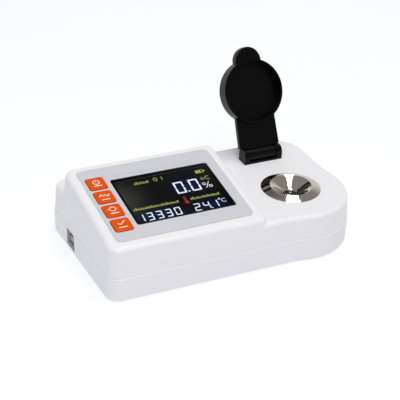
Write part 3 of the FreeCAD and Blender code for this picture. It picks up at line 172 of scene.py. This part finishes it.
# Keys, in the console's frame. Each has a cap, a flange under the case and a short round stem.
KEY_COUNT = 4
KEY_X = 15.95
KEY_FIRST_Y = 21.8
KEY_PITCH = 13.35
KEY_SIZE = (11.3, 11.2)
KEY_RADIUS = 1.6
KEY_TOP = 0.95
KEY_BOTTOM = -2.9
KEY_CROWN_RADIUS = 0.45
FLANGE_REACH = 0.8
FLANGE_LEVELS = (-3.5, -2.5)
FLANGE_EDGE = 0.1
STEM_WIDTH = 4.6
STEM_CORNER = 2.29
STEM_LEVELS = (-4.5, -3.45)
STEM_EDGE = 0.05
SIGN_RISE = 0.03
SIGN_STROKE = 0.55
SIGN_BAR = [(-2.6, -2.6), (2.6, -2.6)]
SIGN_BAR_STROKE = 0.7

# Sample well, from its centre on the deck. The ridge is drawn lower and wider than the solid's.
# Each broken edge is given by its two points' distances from the sharp one, and the funnel and
# the bevel by the shares of their length at which they have a point.
WELL_RADIUS = 18.7
WELL_RIM = 0.8
RIM_EDGE = [(-0.06, 0.14), (0.0, 0.02)]
RIDGE_RADIUS = 13.15
RIDGE_HEIGHT = 1.95
RIDGE_HALF_LAND = 0.13
RIDGE_BLEND = 0.3
RIDGE_DROP = 0.05
BEVEL_DROP = 0.14
BEVEL_END = (0.25, 0.22)
BEVEL_SHARES = (0.02, 0.3, 0.6, 0.985)
FUNNEL_DEPTH = 3.6
FUNNEL_SHARES = (0.2, 0.5, 0.8, 0.985)
HOLE_RADIUS = 3.8
HOLE_BOTTOM = -4.8
HOLE_EDGE = [(0.0, -0.1), (0.12, 0.08)]
SPIGOT_RADIUS = 15.0
SPIGOT_BOTTOM = -7.0
PRISM_POCKET_RADIUS = 9.1

# Patterns of the finishes, in millimetres: the slow patches of plastic, metal, glass and lit
# marks, the lines of rolled metal, which are stretched along X, and the marks of turned steel.
# A drift, a wander and a gloss are shares, not lengths.
PLASTIC_PATCH = 14.0
PLASTIC_GLOSS_DRIFT = 0.04
METAL_PATCH = 3.0
METAL_GLOSS_DRIFT = 0.06
GLASS_PATCH = 9.0
GLASS_RELIEF = 0.004
LIT_PATCH = 6.0
LIT_WANDER = (0.85, 1.1)
ROLLED_STRETCH = (18, 1, 1)
ROLLED_RELIEF = 0.01
TURNED_MARK = 0.16
TURNED_RELIEF = 0.006
TURNED_GLOSS = (0.05, 0.12)

# Meshes: steps round a turned piece, the angle from which an edge is sharp, and the distance
# in metres at which two points are one
TURNED_STEPS = 180
SHARP_ANGLE = 35.0
SAME_POINT = 1e-7


def tilt(degrees):
    return Matrix.Rotation(math.radians(degrees), 4, "X")


CONSOLE = Matrix.Translation(CONSOLE_CORNER) @ tilt(CONSOLE_SLOPE)
DECK = Matrix.Translation(WELL_CENTRE) @ tilt(DECK_SLOPE)


# Materials

def linear(colour):
    """A linear colour from an sRGB hex value."""
    channels = [int(colour[i:i + 2], 16) / 255 for i in (1, 3, 5)]
    return [c / 12.92 if c <= 0.04045 else ((c + 0.055) / 1.055) ** 2.4 for c in channels] + [1.0]


def add(owner, kind, values=(), links=(), **settings):
    """Add one shader node to a material or world: its settings, its sockets' values and what is
    linked into it."""
    tree = owner.node_tree
    node = tree.nodes.new("ShaderNode" + kind)
    for name, value in settings.items():
        setattr(node, name, value)
    for socket, value in dict(values).items():
        node.inputs[socket].default_value = value
    for socket, source in dict(links).items():
        tree.links.new(source, node.inputs[socket])
    return node


def finish_of(name, colour, roughness, **sockets):
    """A material with its shader: constant values sit on the shader's own sockets."""
    material = bpy.data.materials.new(name)
    material.use_nodes = True
    material.node_tree.nodes.clear()
    values = {"Base Color": linear(colour), "Roughness": roughness, **sockets}
    shader = add(material, "BsdfPrincipled", values)
    add(material, "OutputMaterial", links={"Surface": shader.outputs["BSDF"]})
    return material, shader


def noise(material, size, detail=2.0, stretch=(1, 1, 1)):
    """Noise whose lumps are about size millimetres across."""
    place = add(material, "TexCoord")
    spread = add(material, "Mapping", {"Scale": [1 / (size * MM * s) for s in stretch]},
                 {"Vector": place.outputs["Object"]})
    return add(material, "TexNoise", {"Scale": 1.0, "Detail": detail}, {"Vector": spread.outputs["Vector"]})


def drift(material, shader, colour, other, size, low, high):
    """Let the colour move slowly between two tones, and the gloss between two values."""
    patches = noise(material, size)
    mix = add(material, "Mix", {"A": linear(colour), "B": linear(other)},
              {"Factor": patches.outputs["Fac"]}, data_type="RGBA")
    gloss = add(material, "MapRange", {"To Min": low, "To Max": high}, {"Value": patches.outputs["Fac"]})
    links = material.node_tree.links
    links.new(mix.outputs["Result"], shader.inputs["Base Color"])
    links.new(gloss.outputs["Result"], shader.inputs["Roughness"])


def relief(material, shader, pattern, depth):
    """Turn a pattern's value into relief of the given depth in millimetres."""
    bump = add(material, "Bump", {"Strength": 1.0, "Distance": depth * MM}, {"Height": pattern})
    material.node_tree.links.new(bump.outputs["Normal"], shader.inputs["Normal"])


def moulded(name, colour, other, gloss, grain, depth, **sockets):
    """A moulded plastic or rubber: a grain from the mould, slow drift in tone and gloss. A real
    grain is about 0.1 mm, so it is drawn some times coarser to show."""
    material, shader = finish_of(name, colour, gloss, **sockets)
    drift(material, shader, colour, other, PLASTIC_PATCH, gloss - PLASTIC_GLOSS_DRIFT,
          gloss + PLASTIC_GLOSS_DRIFT)
    relief(material, shader, noise(material, grain, 3.0).outputs["Fac"], depth)
    return material


def rolled(name, colour, other, gloss, grain):
    """A rolled, plated or brushed metal: fine lines along X over a slow drift in gloss."""
    material, shader = finish_of(name, colour, gloss, Metallic=1.0)
    drift(material, shader, colour, other, METAL_PATCH, gloss - METAL_GLOSS_DRIFT,
          gloss + METAL_GLOSS_DRIFT)
    lines = noise(material, grain, stretch=ROLLED_STRETCH)
    relief(material, shader, lines.outputs["Fac"], ROLLED_RELIEF)
    return material


def turned_stainless():
    """Stainless steel turned and polished on a lathe. Rings of fine tool marks about the well's
    axis draw each reflection out along the radius, into bright and dark sectors. The marks are
    drawn coarser than real ones, to show."""
    material, shader = finish_of("stainless_steel_turned_polished", "#DAD2C4", 0.12, Metallic=1.0,
                                 Anisotropic=0.8)
    place = add(material, "TexCoord")
    shift = add(material, "Mapping", {"Location": [-c * MM for c in WELL_CENTRE]},
                {"Vector": place.outputs["Object"]})
    parts = add(material, "SeparateXYZ", links={"Vector": shift.outputs["Vector"]})
    flat = add(material, "CombineXYZ", links={"X": parts.outputs["X"], "Y": parts.outputs["Y"]})
    radius = add(material, "VectorMath", links={0: flat.outputs["Vector"]}, operation="LENGTH")
    ring = add(material, "CombineXYZ", links={"X": radius.outputs["Value"], "Y": parts.outputs["Z"]})
    scale = add(material, "Mapping", {"Scale": [1 / (TURNED_MARK * MM)] * 3},
                {"Vector": ring.outputs["Vector"]})
    marks = add(material, "TexNoise", {"Scale": 1.0, "Detail": 3.0}, {"Vector": scale.outputs["Vector"]})
    low, high = TURNED_GLOSS
    gloss = add(material, "MapRange", {"To Min": low, "To Max": high}, {"Value": marks.outputs["Fac"]})
    outward = add(material, "VectorMath", links={0: flat.outputs["Vector"]}, operation="NORMALIZE")
    links = material.node_tree.links
    links.new(gloss.outputs["Result"], shader.inputs["Roughness"])
    links.new(outward.outputs["Vector"], shader.inputs["Tangent"])
    relief(material, shader, marks.outputs["Fac"], TURNED_RELIEF)
    return material


def clear(name, colour, index, gloss, **sockets):
    """Polished glass or clear resin, with a faint unevenness that breaks its reflection."""
    material, shader = finish_of(name, colour, gloss, IOR=index, **sockets)
    shader.inputs["Transmission Weight"].default_value = 1.0
    relief(material, shader, noise(material, GLASS_PATCH).outputs["Fac"], GLASS_RELIEF)
    return material


def lit(name, colour, power):
    """A lit display segment: its light varies a little along it, as over a backlight."""
    material, shader = finish_of(name, "#16171A", 0.5)
    shader.inputs["Emission Color"].default_value = linear(colour)
    low, high = LIT_WANDER
    wander = add(material, "MapRange", {"To Min": power * low, "To Max": power * high},
                 {"Value": noise(material, LIT_PATCH).outputs["Fac"]})
    material.node_tree.links.new(wander.outputs["Result"], shader.inputs["Emission Strength"])
    return material


def display_face():
    """The dark face of a lit colour display: nearly black. Light from the backlight leaks through it
    in soft navy spots round the figures; a grey spot at the left is a painted reflection."""
    material, shader = finish_of("display_cell_dark", "#060708", 0.35, **{"Specular IOR Level": 0.1})
    drift(material, shader, "#050607", "#08090A", 16.0, 0.3, 0.4)
    place = add(material, "TexCoord")
    total = None
    # Each spot adds its colour to the emission: navy backlight leaks, and the grey painted reflection
    for x, y, half_x, half_y, colour in DISPLAY_GLOW_AND_PAINTED_REFLECTION:
        frame_of_spot = {
            "Location": CONSOLE @ Vector((x, y, 0)) * MM,
            "Rotation": (math.radians(CONSOLE_SLOPE), 0, 0),
            "Scale": (half_x * MM, half_y * MM, 1.0),
        }
        spot = add(material, "Mapping", frame_of_spot, {"Vector": place.outputs["Object"]},
                   vector_type="TEXTURE")
        fade = add(material, "TexGradient", links={"Vector": spot.outputs["Vector"]},
                   gradient_type="QUADRATIC_SPHERE")
        tone = add(material, "Mix", {"A": (0, 0, 0, 1), "B": linear(colour)},
                   {"Factor": fade.outputs["Fac"]}, data_type="RGBA")
        light = tone.outputs["Result"]
        if total:
            both = add(material, "Mix", {"Factor": 1.0}, {"A": total, "B": light}, data_type="RGBA",
                       blend_type="ADD")
            light = both.outputs["Result"]
        total = light
    material.node_tree.links.new(total, shader.inputs["Emission Color"])
    shader.inputs["Emission Strength"].default_value = 1.0
    return material


MATERIALS = {
    # ABS moulded in a fine-textured tool: soft white with a broad, dull highlight
    "case_plastic": moulded("abs_moulded_white", "#E8E8EB", "#E4E4E9", 0.42, 0.55, 0.006),
    # Polycarbonate film with a velvet face: a flat cool grey that takes a wide soft sheen
    "panel_plastic": moulded("polycarbonate_film_velvet_grey", "#CACBD1", "#C5C6CD", 0.38, 0.4, 0.004),
    # Acrylic sheet with an anti-reflection coat, which the low index stands for: clear and glossy,
    # a faint skin over the display
    "window_clear": clear("acrylic_sheet_anti_reflection", "#F4F6F6", 1.2, 0.03),
    "display_glass": display_face(),
    # ABS caps printed orange: a strong warm colour with a satin gloss
    "key_orange": moulded("abs_cap_printed_orange", "#DC5204", "#D44D03", 0.4, 0.35, 0.005,
                          **{"Specular IOR Level": 0.1}),
    # ABS moulded black: near-black with a satin gloss that lights up on edges
    "black_plastic": moulded("abs_moulded_black", "#020203", "#040405", 0.3, 0.5, 0.006,
                             **{"Specular IOR Level": 0.16}),
    # Glass-filled nylon: mid grey and dull
    "grey_plastic": moulded("nylon_glass_filled_grey", "#A3A39E", "#999994", 0.5, 0.4, 0.006),
    # Natural nylon: milky white, a little waxy
    "white_plastic": moulded("nylon_moulded_natural", "#DAD9D2", "#D2D1C8", 0.45, 0.5, 0.005),
    "stainless_polished": turned_stainless(),
    # Zinc-plated steel: bluish grey, fairly bright
    "steel": rolled("steel_zinc_plated", "#A9ACB0", "#9A9DA2", 0.3, 0.25),
    # Tin-plated brass sheet: bright with soft rolling lines
    "tin_plate": rolled("tinplate_bright_rolled", "#A9A9A7", "#969694", 0.26, 0.2),
    # Optical glass: clear and sharp, dark where the housing lies behind it, and tinted brown-grey as
    # painted shade for the deep hole of the well
    "prism_glass": clear("optical_glass_polished", "#6A5A4C", 1.76, 0.02, **{"Specular IOR Level": 0.08}),
    # Optical glass: clear, a little brighter than the prism
    "lens_glass": clear("lens_glass_polished", "#F0F4F4", 1.52, 0.01),
    # Epoxy resin: amber and clear, with a soft highlight
    "lamp_resin": clear("epoxy_lamp_amber", "#F2B64A", 1.54, 0.05),
    # Nitrile: dull black
    "seal_rubber": moulded("nitrile_moulded_black", "#1A1A1A", "#202020", 0.6, 0.4, 0.008),
    # Rubber: dark grey and quite dull
    "foot_rubber": moulded("rubber_moulded_black", "#1F1F20", "#262627", 0.7, 0.4, 0.01),
    # Black anodised aluminium: dark with a metallic sheen on its edges
    "optics_black": rolled("aluminium_anodised_black", "#242527", "#2B2C2F", 0.42, 0.3),
    # Glass-epoxy board under green solder mask: glossy green over a faint weave
    "board_green": moulded("glass_epoxy_solder_mask_green", "#1F5A38", "#1B5034", 0.3, 0.6, 0.01),
    # Epoxy moulding compound: charcoal and dull
    "chip_black": moulded("epoxy_moulded_charcoal", "#2A2A2B", "#303031", 0.55, 0.25, 0.006),
    # PVC shrink sleeve: blue, glossy, a little uneven over the cells
    "battery_film": moulded("pvc_shrink_sleeve_blue", "#2F4C86", "#2A4479", 0.28, 2.5, 0.03),
}

# Lit segments of the display's mask: white, yellow-green and red
SEGMENT_WHITE = lit("display_segment_white", "#EEF2FF", 1.2)
SEGMENT_YELLOW = lit("display_segment_yellow_green", "#C4CE66", 1.0)
SEGMENT_RED = lit("display_segment_red", "#B01E16", 0.62)

# Screen-printing inks: black round the window, grey on the panel, and a warm white, slightly
# raised, on the keys. All are dull.
PRINT_BLACK = moulded("screen_print_ink_black", "#060607", "#080809", 0.5, 0.3, 0.003,
                      **{"Specular IOR Level": 0.1})
PRINT_GREY = moulded("screen_print_ink_grey", "#AEB0B8", "#A9ABB4", 0.5, 0.3, 0.003)
PRINT_WHITE = moulded("screen_print_ink_white", "#F3EBE2", "#EBE2D8", 0.55, 0.3, 0.004)


# Shapes

def make(name, matrix, points, faces, material, body, slot):
    """One mesh piece from points in millimetres, riding on a body."""
    mesh = bpy.data.meshes.new(name)
    mesh.from_pydata([matrix @ Vector(p) * MM for p in points], [], faces)
    mesh.validate()
    shape = bmesh.new()
    shape.from_mesh(mesh)
    bmesh.ops.remove_doubles(shape, verts=shape.verts, dist=SAME_POINT)
    bmesh.ops.recalc_face_normals(shape, faces=shape.faces)
    shape.to_mesh(mesh)
    shape.free()
    mesh.shade_smooth()
    mesh.set_sharp_from_angle(angle=math.radians(SHARP_ANGLE))
    mesh.materials.append(material)
    piece = bpy.data.objects.new(name, mesh)
    bpy.context.scene.collection.objects.link(piece)
    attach(piece, body)
    return piece


def band(low, high, count):
    """Faces between two loops of count points, given by the numbers of their first points."""
    nexts = [(j + 1) % count for j in range(count)]
    return [(low + j, low + nexts[j], high + nexts[j], high + j) for j in range(count)]


def lathe(profile):
    """A closed (radius, height) outline turned about Z."""
    points, faces = [], []
    for i in range(TURNED_STEPS):
        turn = 2 * math.pi * i / TURNED_STEPS
        points += [(r * math.cos(turn), r * math.sin(turn), z) for r, z in profile]
    count = len(profile)
    for i in range(TURNED_STEPS):
        faces += band(i * count, (i + 1) % TURNED_STEPS * count, count)
    return points, faces


def stack(rings):
    """A closed solid through rings of equal point count, capped at both ends."""
    count = len(rings[0])
    points = [p for ring in rings for p in ring]
    faces = [tuple(range(count - 1, -1, -1)), tuple(range(len(points) - count, len(points)))]
    for i in range(len(rings) - 1):
        faces += band(i * count, (i + 1) * count, count)
    return points, faces


def tube(rings):
    """A closed ring of faces through loops of equal point count, the last joined to the first."""
    count = len(rings[0])
    points = [p for ring in rings for p in ring]
    faces = []
    for i in range(len(rings)):
        faces += band(i * count, (i + 1) % len(rings) * count, count)
    return points, faces


def together(*solids):
    """Several solids as one list of points and faces."""
    points, faces = [], []
    for some_points, some_faces in solids:
        base = len(points)
        points += some_points
        faces += [tuple(i + base for i in face) for face in some_faces]
    return points, faces


def rounded_rectangle(width, height, radius, steps=8):
    """Points round a rectangle about the origin, its corners true arcs."""
    points = []
    for cx, cy, start in ((1, 1, 0), (-1, 1, 90), (-1, -1, 180), (1, -1, 270)):
        for step in range(steps + 1):
            turn = math.radians(start + 90 * step / steps)
            points.append((cx * (width / 2 - radius) + radius * math.cos(turn),
                           cy * (height / 2 - radius) + radius * math.sin(turn)))
    return points


def circle(x, y, radius, start=0.0, end=360.0, count=24):
    """Points round a circle, or along an arc with both its ends."""
    ends = 1 if end - start < 360 else 0
    turns = [math.radians(start + (end - start) * i / count) for i in range(count + ends)]
    return [(x + radius * math.cos(t), y + radius * math.sin(t)) for t in turns]


def slope(start, end, shares):
    """Points of a straight stretch of an outline, at shares of its length."""
    return [tuple(a + (b - a) * share for a, b in zip(start, end)) for share in shares]


def soft_plate(size, radius, levels, edge, centre, steps=4):
    """A rounded plate between two levels, its upper edge rounded over by edge."""
    bottom, top = levels
    heights = [(0.0, bottom), (0.0, top - edge)]
    for step in range(1, steps + 1):
        turn = math.radians(90 * step / steps)
        heights.append((edge * (1 - math.cos(turn)), top - edge + edge * math.sin(turn)))
    rings = []
    for inset, z in heights:
        ring = rounded_rectangle(size[0] - 2 * inset, size[1] - 2 * inset, radius - inset)
        rings.append([(x + centre[0], y + centre[1], z) for x, y in ring])
    return stack(rings)


def flat_mark(outline, z0, z1):
    return stack([[(x, y, z) for x, y in outline] for z in (z0, z1)])


def stroke(path, width, z0, z1, closed=False):
    """A flat mark of even width along a path, with mitred bends."""
    points = [Vector(p) for p in path]
    count = len(points)
    left, right = [], []
    for i, p in enumerate(points):
        before = points[i - 1] if closed or i else None
        after = points[(i + 1) % count] if closed or i < count - 1 else None
        ways = [(q - p).normalized() * s for q, s in ((before, -1), (after, 1)) if q is not None]
        way = sum(ways, Vector((0, 0))).normalized()
        side = Vector((-way.y, way.x))
        reach = width / 2 / max(0.5, way.dot(ways[0]))
        left.append(tuple(p + side * reach))
        right.append(tuple(p - side * reach))
    if not closed:
        return flat_mark(right + left[::-1], z0, z1)
    quads = []
    for i in range(count):
        j = (i + 1) % count
        quads.append(flat_mark([right[i], right[j], left[j], left[i]], z0, z1))
    return together(*quads)


# Camera, stage and light

def camera():
    a, e = math.radians(CAMERA_AZIMUTH), math.radians(CAMERA_ELEVATION)
    back = Vector((-math.sin(a) * math.cos(e), -math.cos(a) * math.cos(e), math.sin(e)))
    right = Vector((math.cos(a), -math.sin(a), 0))
    up = Vector((math.sin(a) * math.sin(e), math.cos(a) * math.sin(e), math.cos(e)))
    roll = math.radians(CAMERA_ROLL)
    across = right * math.cos(roll) + up * math.sin(roll)
    upward = up * math.cos(roll) - right * math.sin(roll)
    data = bpy.data.cameras.new("photo_camera")
    data.lens, data.sensor_width = CAMERA_LENS, CAMERA_SENSOR
    data.clip_start, data.clip_end = CAMERA_RANGE
    eye = bpy.data.objects.new("photo_camera", data)
    turn = Matrix((across, upward, back)).transposed().to_4x4()
    eye.matrix_world = Matrix.Translation((Vector(CAMERA_TARGET) + back * CAMERA_DISTANCE) * MM) @ turn
    bpy.context.scene.collection.objects.link(eye)
    bpy.context.scene.camera = eye


def soft_box(name, place, sides, aim, power):
    """A soft box, its first side level and across the picture."""
    data = bpy.data.lights.new(name, "AREA")
    data.shape = "RECTANGLE"
    data.size, data.size_y = sides
    data.energy, data.color = power, SOFT_BOX_COLOUR
    box = bpy.data.objects.new(name, data)
    back = (Vector(place) - Vector(aim)).normalized()
    turn = math.radians(SOFT_BOX_TURN)
    across = Vector((math.cos(turn), math.sin(turn), 0.0))
    along = back.cross(across).normalized()
    facing = Matrix((along.cross(back), along, back)).transposed().to_4x4()
    box.matrix_world = Matrix.Translation(place) @ facing
    bpy.context.scene.collection.objects.link(box)


def ramp(world, source, span, start, end):
    """A value that runs from start to end while its source crosses a span."""
    limits = {"From Min": span[0], "From Max": span[1], "To Min": start, "To Max": end}
    return add(world, "MapRange", limits, {"Value": source}).outputs["Result"]


def surround():
    """An even sky with a bright horizon at the back and a dark patch above it."""
    world = bpy.data.worlds.new("studio")
    world.use_nodes = True
    background = world.node_tree.nodes["Background"]
    background.inputs["Color"].default_value = SKY_COLOUR
    sky = {0: add(world, "TexCoord").outputs["Generated"]}
    toward = add(world, "VectorMath", {1: FRONT_DIRECTION}, sky, operation="DOT_PRODUCT")
    shade = add(world, "VectorMath", {1: DARK_DIRECTION}, sky, operation="DOT_PRODUCT")
    height = add(world, "SeparateXYZ", links=sky)
    wash = ramp(world, shade.outputs["Value"], DARK_EDGE, SKY_BRIGHT, SKY_DIM)
    sweep = ramp(world, height.outputs["Z"], HORIZON_HEIGHTS, HORIZON, 0.0)
    away = ramp(world, toward.outputs["Value"], FRONT_FADE, 1.0, 0.0)
    low = add(world, "Math", links={0: sweep, 1: away}, operation="MULTIPLY")
    level = add(world, "Math", links={0: wash, 1: low.outputs["Value"]}, operation="MAXIMUM")
    world.node_tree.links.new(level.outputs["Value"], background.inputs["Strength"])
    return world


def floor():
    """A white paper floor that glows a little, so that its shadows stay light."""
    paper, shader = finish_of("floor_paper_white", FLOOR_TONES[0], 0.9)
    shader.inputs["Emission Color"].default_value = FLOOR_LIGHT
    shader.inputs["Emission Strength"].default_value = FLOOR_GLOW
    drift(paper, shader, *FLOOR_TONES, 200.0, 0.85, 0.95)
    corners = [(-1, -1), (1, -1), (1, 1), (-1, 1)]
    mesh = bpy.data.meshes.new("studio_floor")
    mesh.from_pydata([(x * FLOOR_HALF, y * FLOOR_HALF, 0) for x, y in corners], [], [(0, 1, 2, 3)])
    mesh.materials.append(paper)
    sheet = bpy.data.objects.new("studio_floor", mesh)
    bpy.context.scene.collection.objects.link(sheet)


def studio():
    bpy.context.scene.view_settings.view_transform = "Standard"
    bpy.context.scene.world = surround()
    floor()
    for box in SOFT_BOXES:
        soft_box(*box)


# Display

def mark(outline):
    """A flat lit area of the display."""
    return flat_mark(outline, MARK_Z, MARK_Z + MARK_THICKNESS)


def line(path, width, closed=False):
    """A lit line of the display."""
    return stroke(path, width, MARK_Z, MARK_Z + MARK_THICKNESS, closed)


def ring(x, y, radius, width):
    return line(circle(x, y, radius, count=16), width, closed=True)


def letter_c(x, y):
    return line(circle(x, y, LETTER_RADIUS, *LETTER_ARC), LETTER_STROKE)


def digit(value, x, y, width, height, thick):
    """A seven-segment figure that leans to the right, from its lower left corner. Its segments
    are mitred where they meet, with a gap between them."""
    gap, half = thick * SEGMENT_GAP, height / 2
    inner, high, roof = half - thick / 2, width + thick / 2, half + thick / 2
    out, face = -thick / 2, thick / 2
    top = [(out + gap, roof), (high - gap, roof), (high - thick - gap, inner), (out + thick + gap, inner)]
    side = [(out, roof - gap), (face, inner - gap), (face, face + gap), (0.0, gap), (out, face)]
    middle = [(gap, 0.0), (face + gap, face), (width - face - gap, face), (width - gap, 0.0),
              (width - face - gap, out), (face + gap, out)]
    shapes = {
        "a": top,
        "b": [(width - px, py) for px, py in side],
        "c": [(width - px, -py) for px, py in side],
        "d": [(px, -py) for px, py in top],
        "e": [(px, -py) for px, py in side],
        "f": side,
        "g": middle,
    }
    return together(*[
        mark([(x + px + (py + half) * FIGURE_LEAN, y + half + py) for px, py in shapes[name]])
        for name in SEGMENTS[value]
    ])


def figures(text, x, y, width, height, pitch, thick):
    return together(*[digit(c, x + i * pitch, y, width, height, thick) for i, c in enumerate(text)])


def bar_row(x, y, length, height):
    """A row of small upright bars of uneven height."""
    solids = []
    for i in range(int(length / BAR_PITCH)):
        left, rise = x + i * BAR_PITCH, height * BAR_RISES[i % len(BAR_RISES)]
        right = left + BAR_PITCH * BAR_FILL
        solids.append(mark([(left, y), (right, y), (right, y + rise), (left, y + rise)]))
    return together(*solids)


def battery_sign():
    low, high = BATTERY_BAR_ENDS
    bars = [mark([(x, low), (x + BATTERY_BAR_WIDTH, low), (x + BATTERY_BAR_WIDTH, high), (x, high)])
            for x in BATTERY_BARS]
    return together(line(BATTERY_CASE, BATTERY_STROKE, closed=True), mark(BATTERY_TIP), *bars)


def nought_and_one():
    x, y, radius = NOUGHT
    nought = [(x + px * NOUGHT_NARROWING, y + py) for px, py in circle(0, 0, radius)]
    return together(line(nought, SMALL_STROKE, closed=True), line(SMALL_ONE, SMALL_STROKE))


def display():
    white = together(
        *[figures(*row) for row in FIGURES],
        *[mark(circle(*point, count=12)) for point in POINTS],
        *[ring(*loop) for loop in PERCENT_RINGS],
        line(PERCENT_BAR, PERCENT_STROKE),
        ring(*LOWER_DEGREE),
        letter_c(*LOWER_LETTER),
    )
    yellow = together(
        ring(*UPPER_DEGREE),
        letter_c(*UPPER_LETTER),
        battery_sign(),
        nought_and_one(),
        *[bar_row(*row) for row in BAR_ROWS],
    )
    red = together(mark(circle(*THERMOMETER_BULB, count=20)), mark(THERMOMETER_STEM))
    for name, solid, material in (("display_figures", white, SEGMENT_WHITE),
                                  ("display_units", yellow, SEGMENT_YELLOW),
                                  ("display_thermometer", red, SEGMENT_RED)):
        make(name, CONSOLE, *solid, material, "case_body", "display_glass")


def glass_loop(inset, z):
    """A loop of points round the glass, inset from its edge."""
    loop = rounded_rectangle(GLASS_SIZE[0] - 2 * inset, GLASS_SIZE[1] - 2 * inset,
                             max(GLASS_RADIUS - inset, BORDER_MIN_RADIUS))
    return [(x + GLASS_CENTRE[0], y + GLASS_CENTRE[1], z) for x, y in loop]


def window():
    solid = soft_plate(GLASS_SIZE, GLASS_RADIUS, (GLASS_BOTTOM, GLASS_TOP), GLASS_EDGE, GLASS_CENTRE)
    glass = make("display_glass_sheet", CONSOLE, *solid, MATERIALS["window_clear"], "case_body",
                 "window_clear")
    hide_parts("display_window")


def window_border():
    """Black print round the edge and the underside of the window."""
    low, high = GLASS_BOTTOM + BORDER_CLEARANCE[0], GLASS_TOP - BORDER_CLEARANCE[1]
    section = [(BORDER_INSET, low), (BORDER_INSET, high), (BORDER_SHOULDER, high),
               (BORDER_WIDTH, low + BORDER_FILM), (BORDER_WIDTH, low)]
    border = tube([glass_loop(inset, z) for inset, z in section])
    make("display_window_border", CONSOLE, *border, PRINT_BLACK, "case_body", "window_clear")


def printed_rule():
    """Grey rule on the panel, along the back of the window."""
    back = GLASS_LOW[1] + GLASS_SIZE[1] + RULE_DISTANCE
    ends = [(GLASS_LOW[0] + RULE_ENDS[0], back), (GLASS_LOW[0] + GLASS_SIZE[0] - RULE_ENDS[1], back)]
    rule = stroke(ends, RULE_WIDTH, PANEL_TOP - PRINT_SINK, PANEL_TOP + RULE_RISE)
    make("panel_printed_rule", CONSOLE, *rule, PRINT_GREY, "case_body", "panel_plastic")


# Keys

def key_sign(number, x, y):
    """A plain white sign for each key over a bar: on and off, up and down, zero, and a tick."""
    low, high = KEY_TOP - PRINT_SINK, KEY_TOP + SIGN_RISE

    def sign(path, width=SIGN_STROKE, closed=False):
        return stroke([(x + px, y + py) for px, py in path], width, low, high, closed)

    signs = {
        1: [sign(circle(0, 0.9, 1.9, 120, 420, 20)), sign([(0, 0.9), (0, 3.4)])],
        2: [sign([(-3.2, 0.2), (-1.6, 2.2), (0.0, 0.2)]), sign([(0.4, 2.0), (2.0, 0.0), (3.6, 2.0)])],
        3: [sign(circle(0, 1.2, 1.8), closed=True), sign([(-3.3, 1.2), (-2.4, 1.2)]),
            sign([(2.4, 1.2), (3.3, 1.2)])],
        4: [sign([(-2.2, 1.3), (-0.7, -0.2), (2.6, 3.0)])],
    }
    return together(*signs[number], sign(SIGN_BAR, SIGN_BAR_STROKE))


def keys():
    """Four keys, the first at the back. Each sign is a print on its cap."""
    flange_size = [side + 2 * FLANGE_REACH for side in KEY_SIZE]
    for number in range(1, KEY_COUNT + 1):
        centre = (KEY_X, KEY_FIRST_Y + KEY_PITCH * (KEY_COUNT - number))
        body = f"key_body_{number}"
        cap = soft_plate(KEY_SIZE, KEY_RADIUS, (KEY_BOTTOM, KEY_TOP), KEY_CROWN_RADIUS, centre)
        flange = soft_plate(flange_size, KEY_RADIUS + FLANGE_REACH, FLANGE_LEVELS, FLANGE_EDGE, centre)
        stem = soft_plate((STEM_WIDTH, STEM_WIDTH), STEM_CORNER, STEM_LEVELS, STEM_EDGE, centre)
        piece = make(f"key_cap_{number}", CONSOLE, *together(cap, flange, stem),
                     MATERIALS["key_orange"], body, "key_orange")
        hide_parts(f"key_{number}")
        make(f"key_sign_{number}", CONSOLE, *key_sign(number, *centre), PRINT_WHITE, body, "key_orange")


# Sample well

def well():
    """The turned ring: hole, funnel, ridge, bevel, rim and the spigot in the deck."""
    shoulder = RIDGE_HEIGHT - RIDGE_DROP
    hole = [(HOLE_RADIUS, HOLE_BOTTOM)]
    hole += [(HOLE_RADIUS + across, up - FUNNEL_DEPTH) for across, up in HOLE_EDGE]
    funnel = slope((HOLE_RADIUS, -FUNNEL_DEPTH), (RIDGE_RADIUS - RIDGE_BLEND, shoulder),
                   FUNNEL_SHARES)
    ridge = [(RIDGE_RADIUS - RIDGE_HALF_LAND, shoulder), (RIDGE_RADIUS, RIDGE_HEIGHT),
             (RIDGE_RADIUS + RIDGE_HALF_LAND, shoulder)]
    bevel = slope((RIDGE_RADIUS + RIDGE_BLEND, RIDGE_HEIGHT - BEVEL_DROP),
                  (WELL_RADIUS - BEVEL_END[0], BEVEL_END[1]), BEVEL_SHARES)
    rim = [(WELL_RADIUS + across, up) for across, up in RIM_EDGE]
    rim.append((WELL_RADIUS, -WELL_RIM))
    spigot = [(SPIGOT_RADIUS, -WELL_RIM), (SPIGOT_RADIUS, SPIGOT_BOTTOM),
              (PRISM_POCKET_RADIUS, SPIGOT_BOTTOM), (PRISM_POCKET_RADIUS, HOLE_BOTTOM)]
    ring_shape = lathe(hole + funnel + ridge + bevel + rim + spigot)
    piece = make("sample_well_turned", DECK, *ring_shape, MATERIALS["stainless_polished"],
                 "case_body", "stainless_polished")
    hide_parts("sample_well")


# The script's steps

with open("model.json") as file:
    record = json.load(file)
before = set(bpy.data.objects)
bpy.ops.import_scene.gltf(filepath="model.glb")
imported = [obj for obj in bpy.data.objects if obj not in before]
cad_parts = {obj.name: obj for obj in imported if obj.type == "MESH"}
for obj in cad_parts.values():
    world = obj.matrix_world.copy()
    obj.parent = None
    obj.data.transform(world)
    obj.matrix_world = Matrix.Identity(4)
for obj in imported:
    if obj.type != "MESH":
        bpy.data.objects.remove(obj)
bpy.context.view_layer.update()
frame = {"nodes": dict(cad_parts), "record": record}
camera()
studio()
slots = {row["node"]: row["material_slot"] for row in frame["record"]["subparts"]}
for node, piece in frame["nodes"].items():
    piece.data.materials.clear()
    piece.data.materials.append(MATERIALS[slots[node]])
display()
window()
window_border()
printed_rule()
keys()
well()
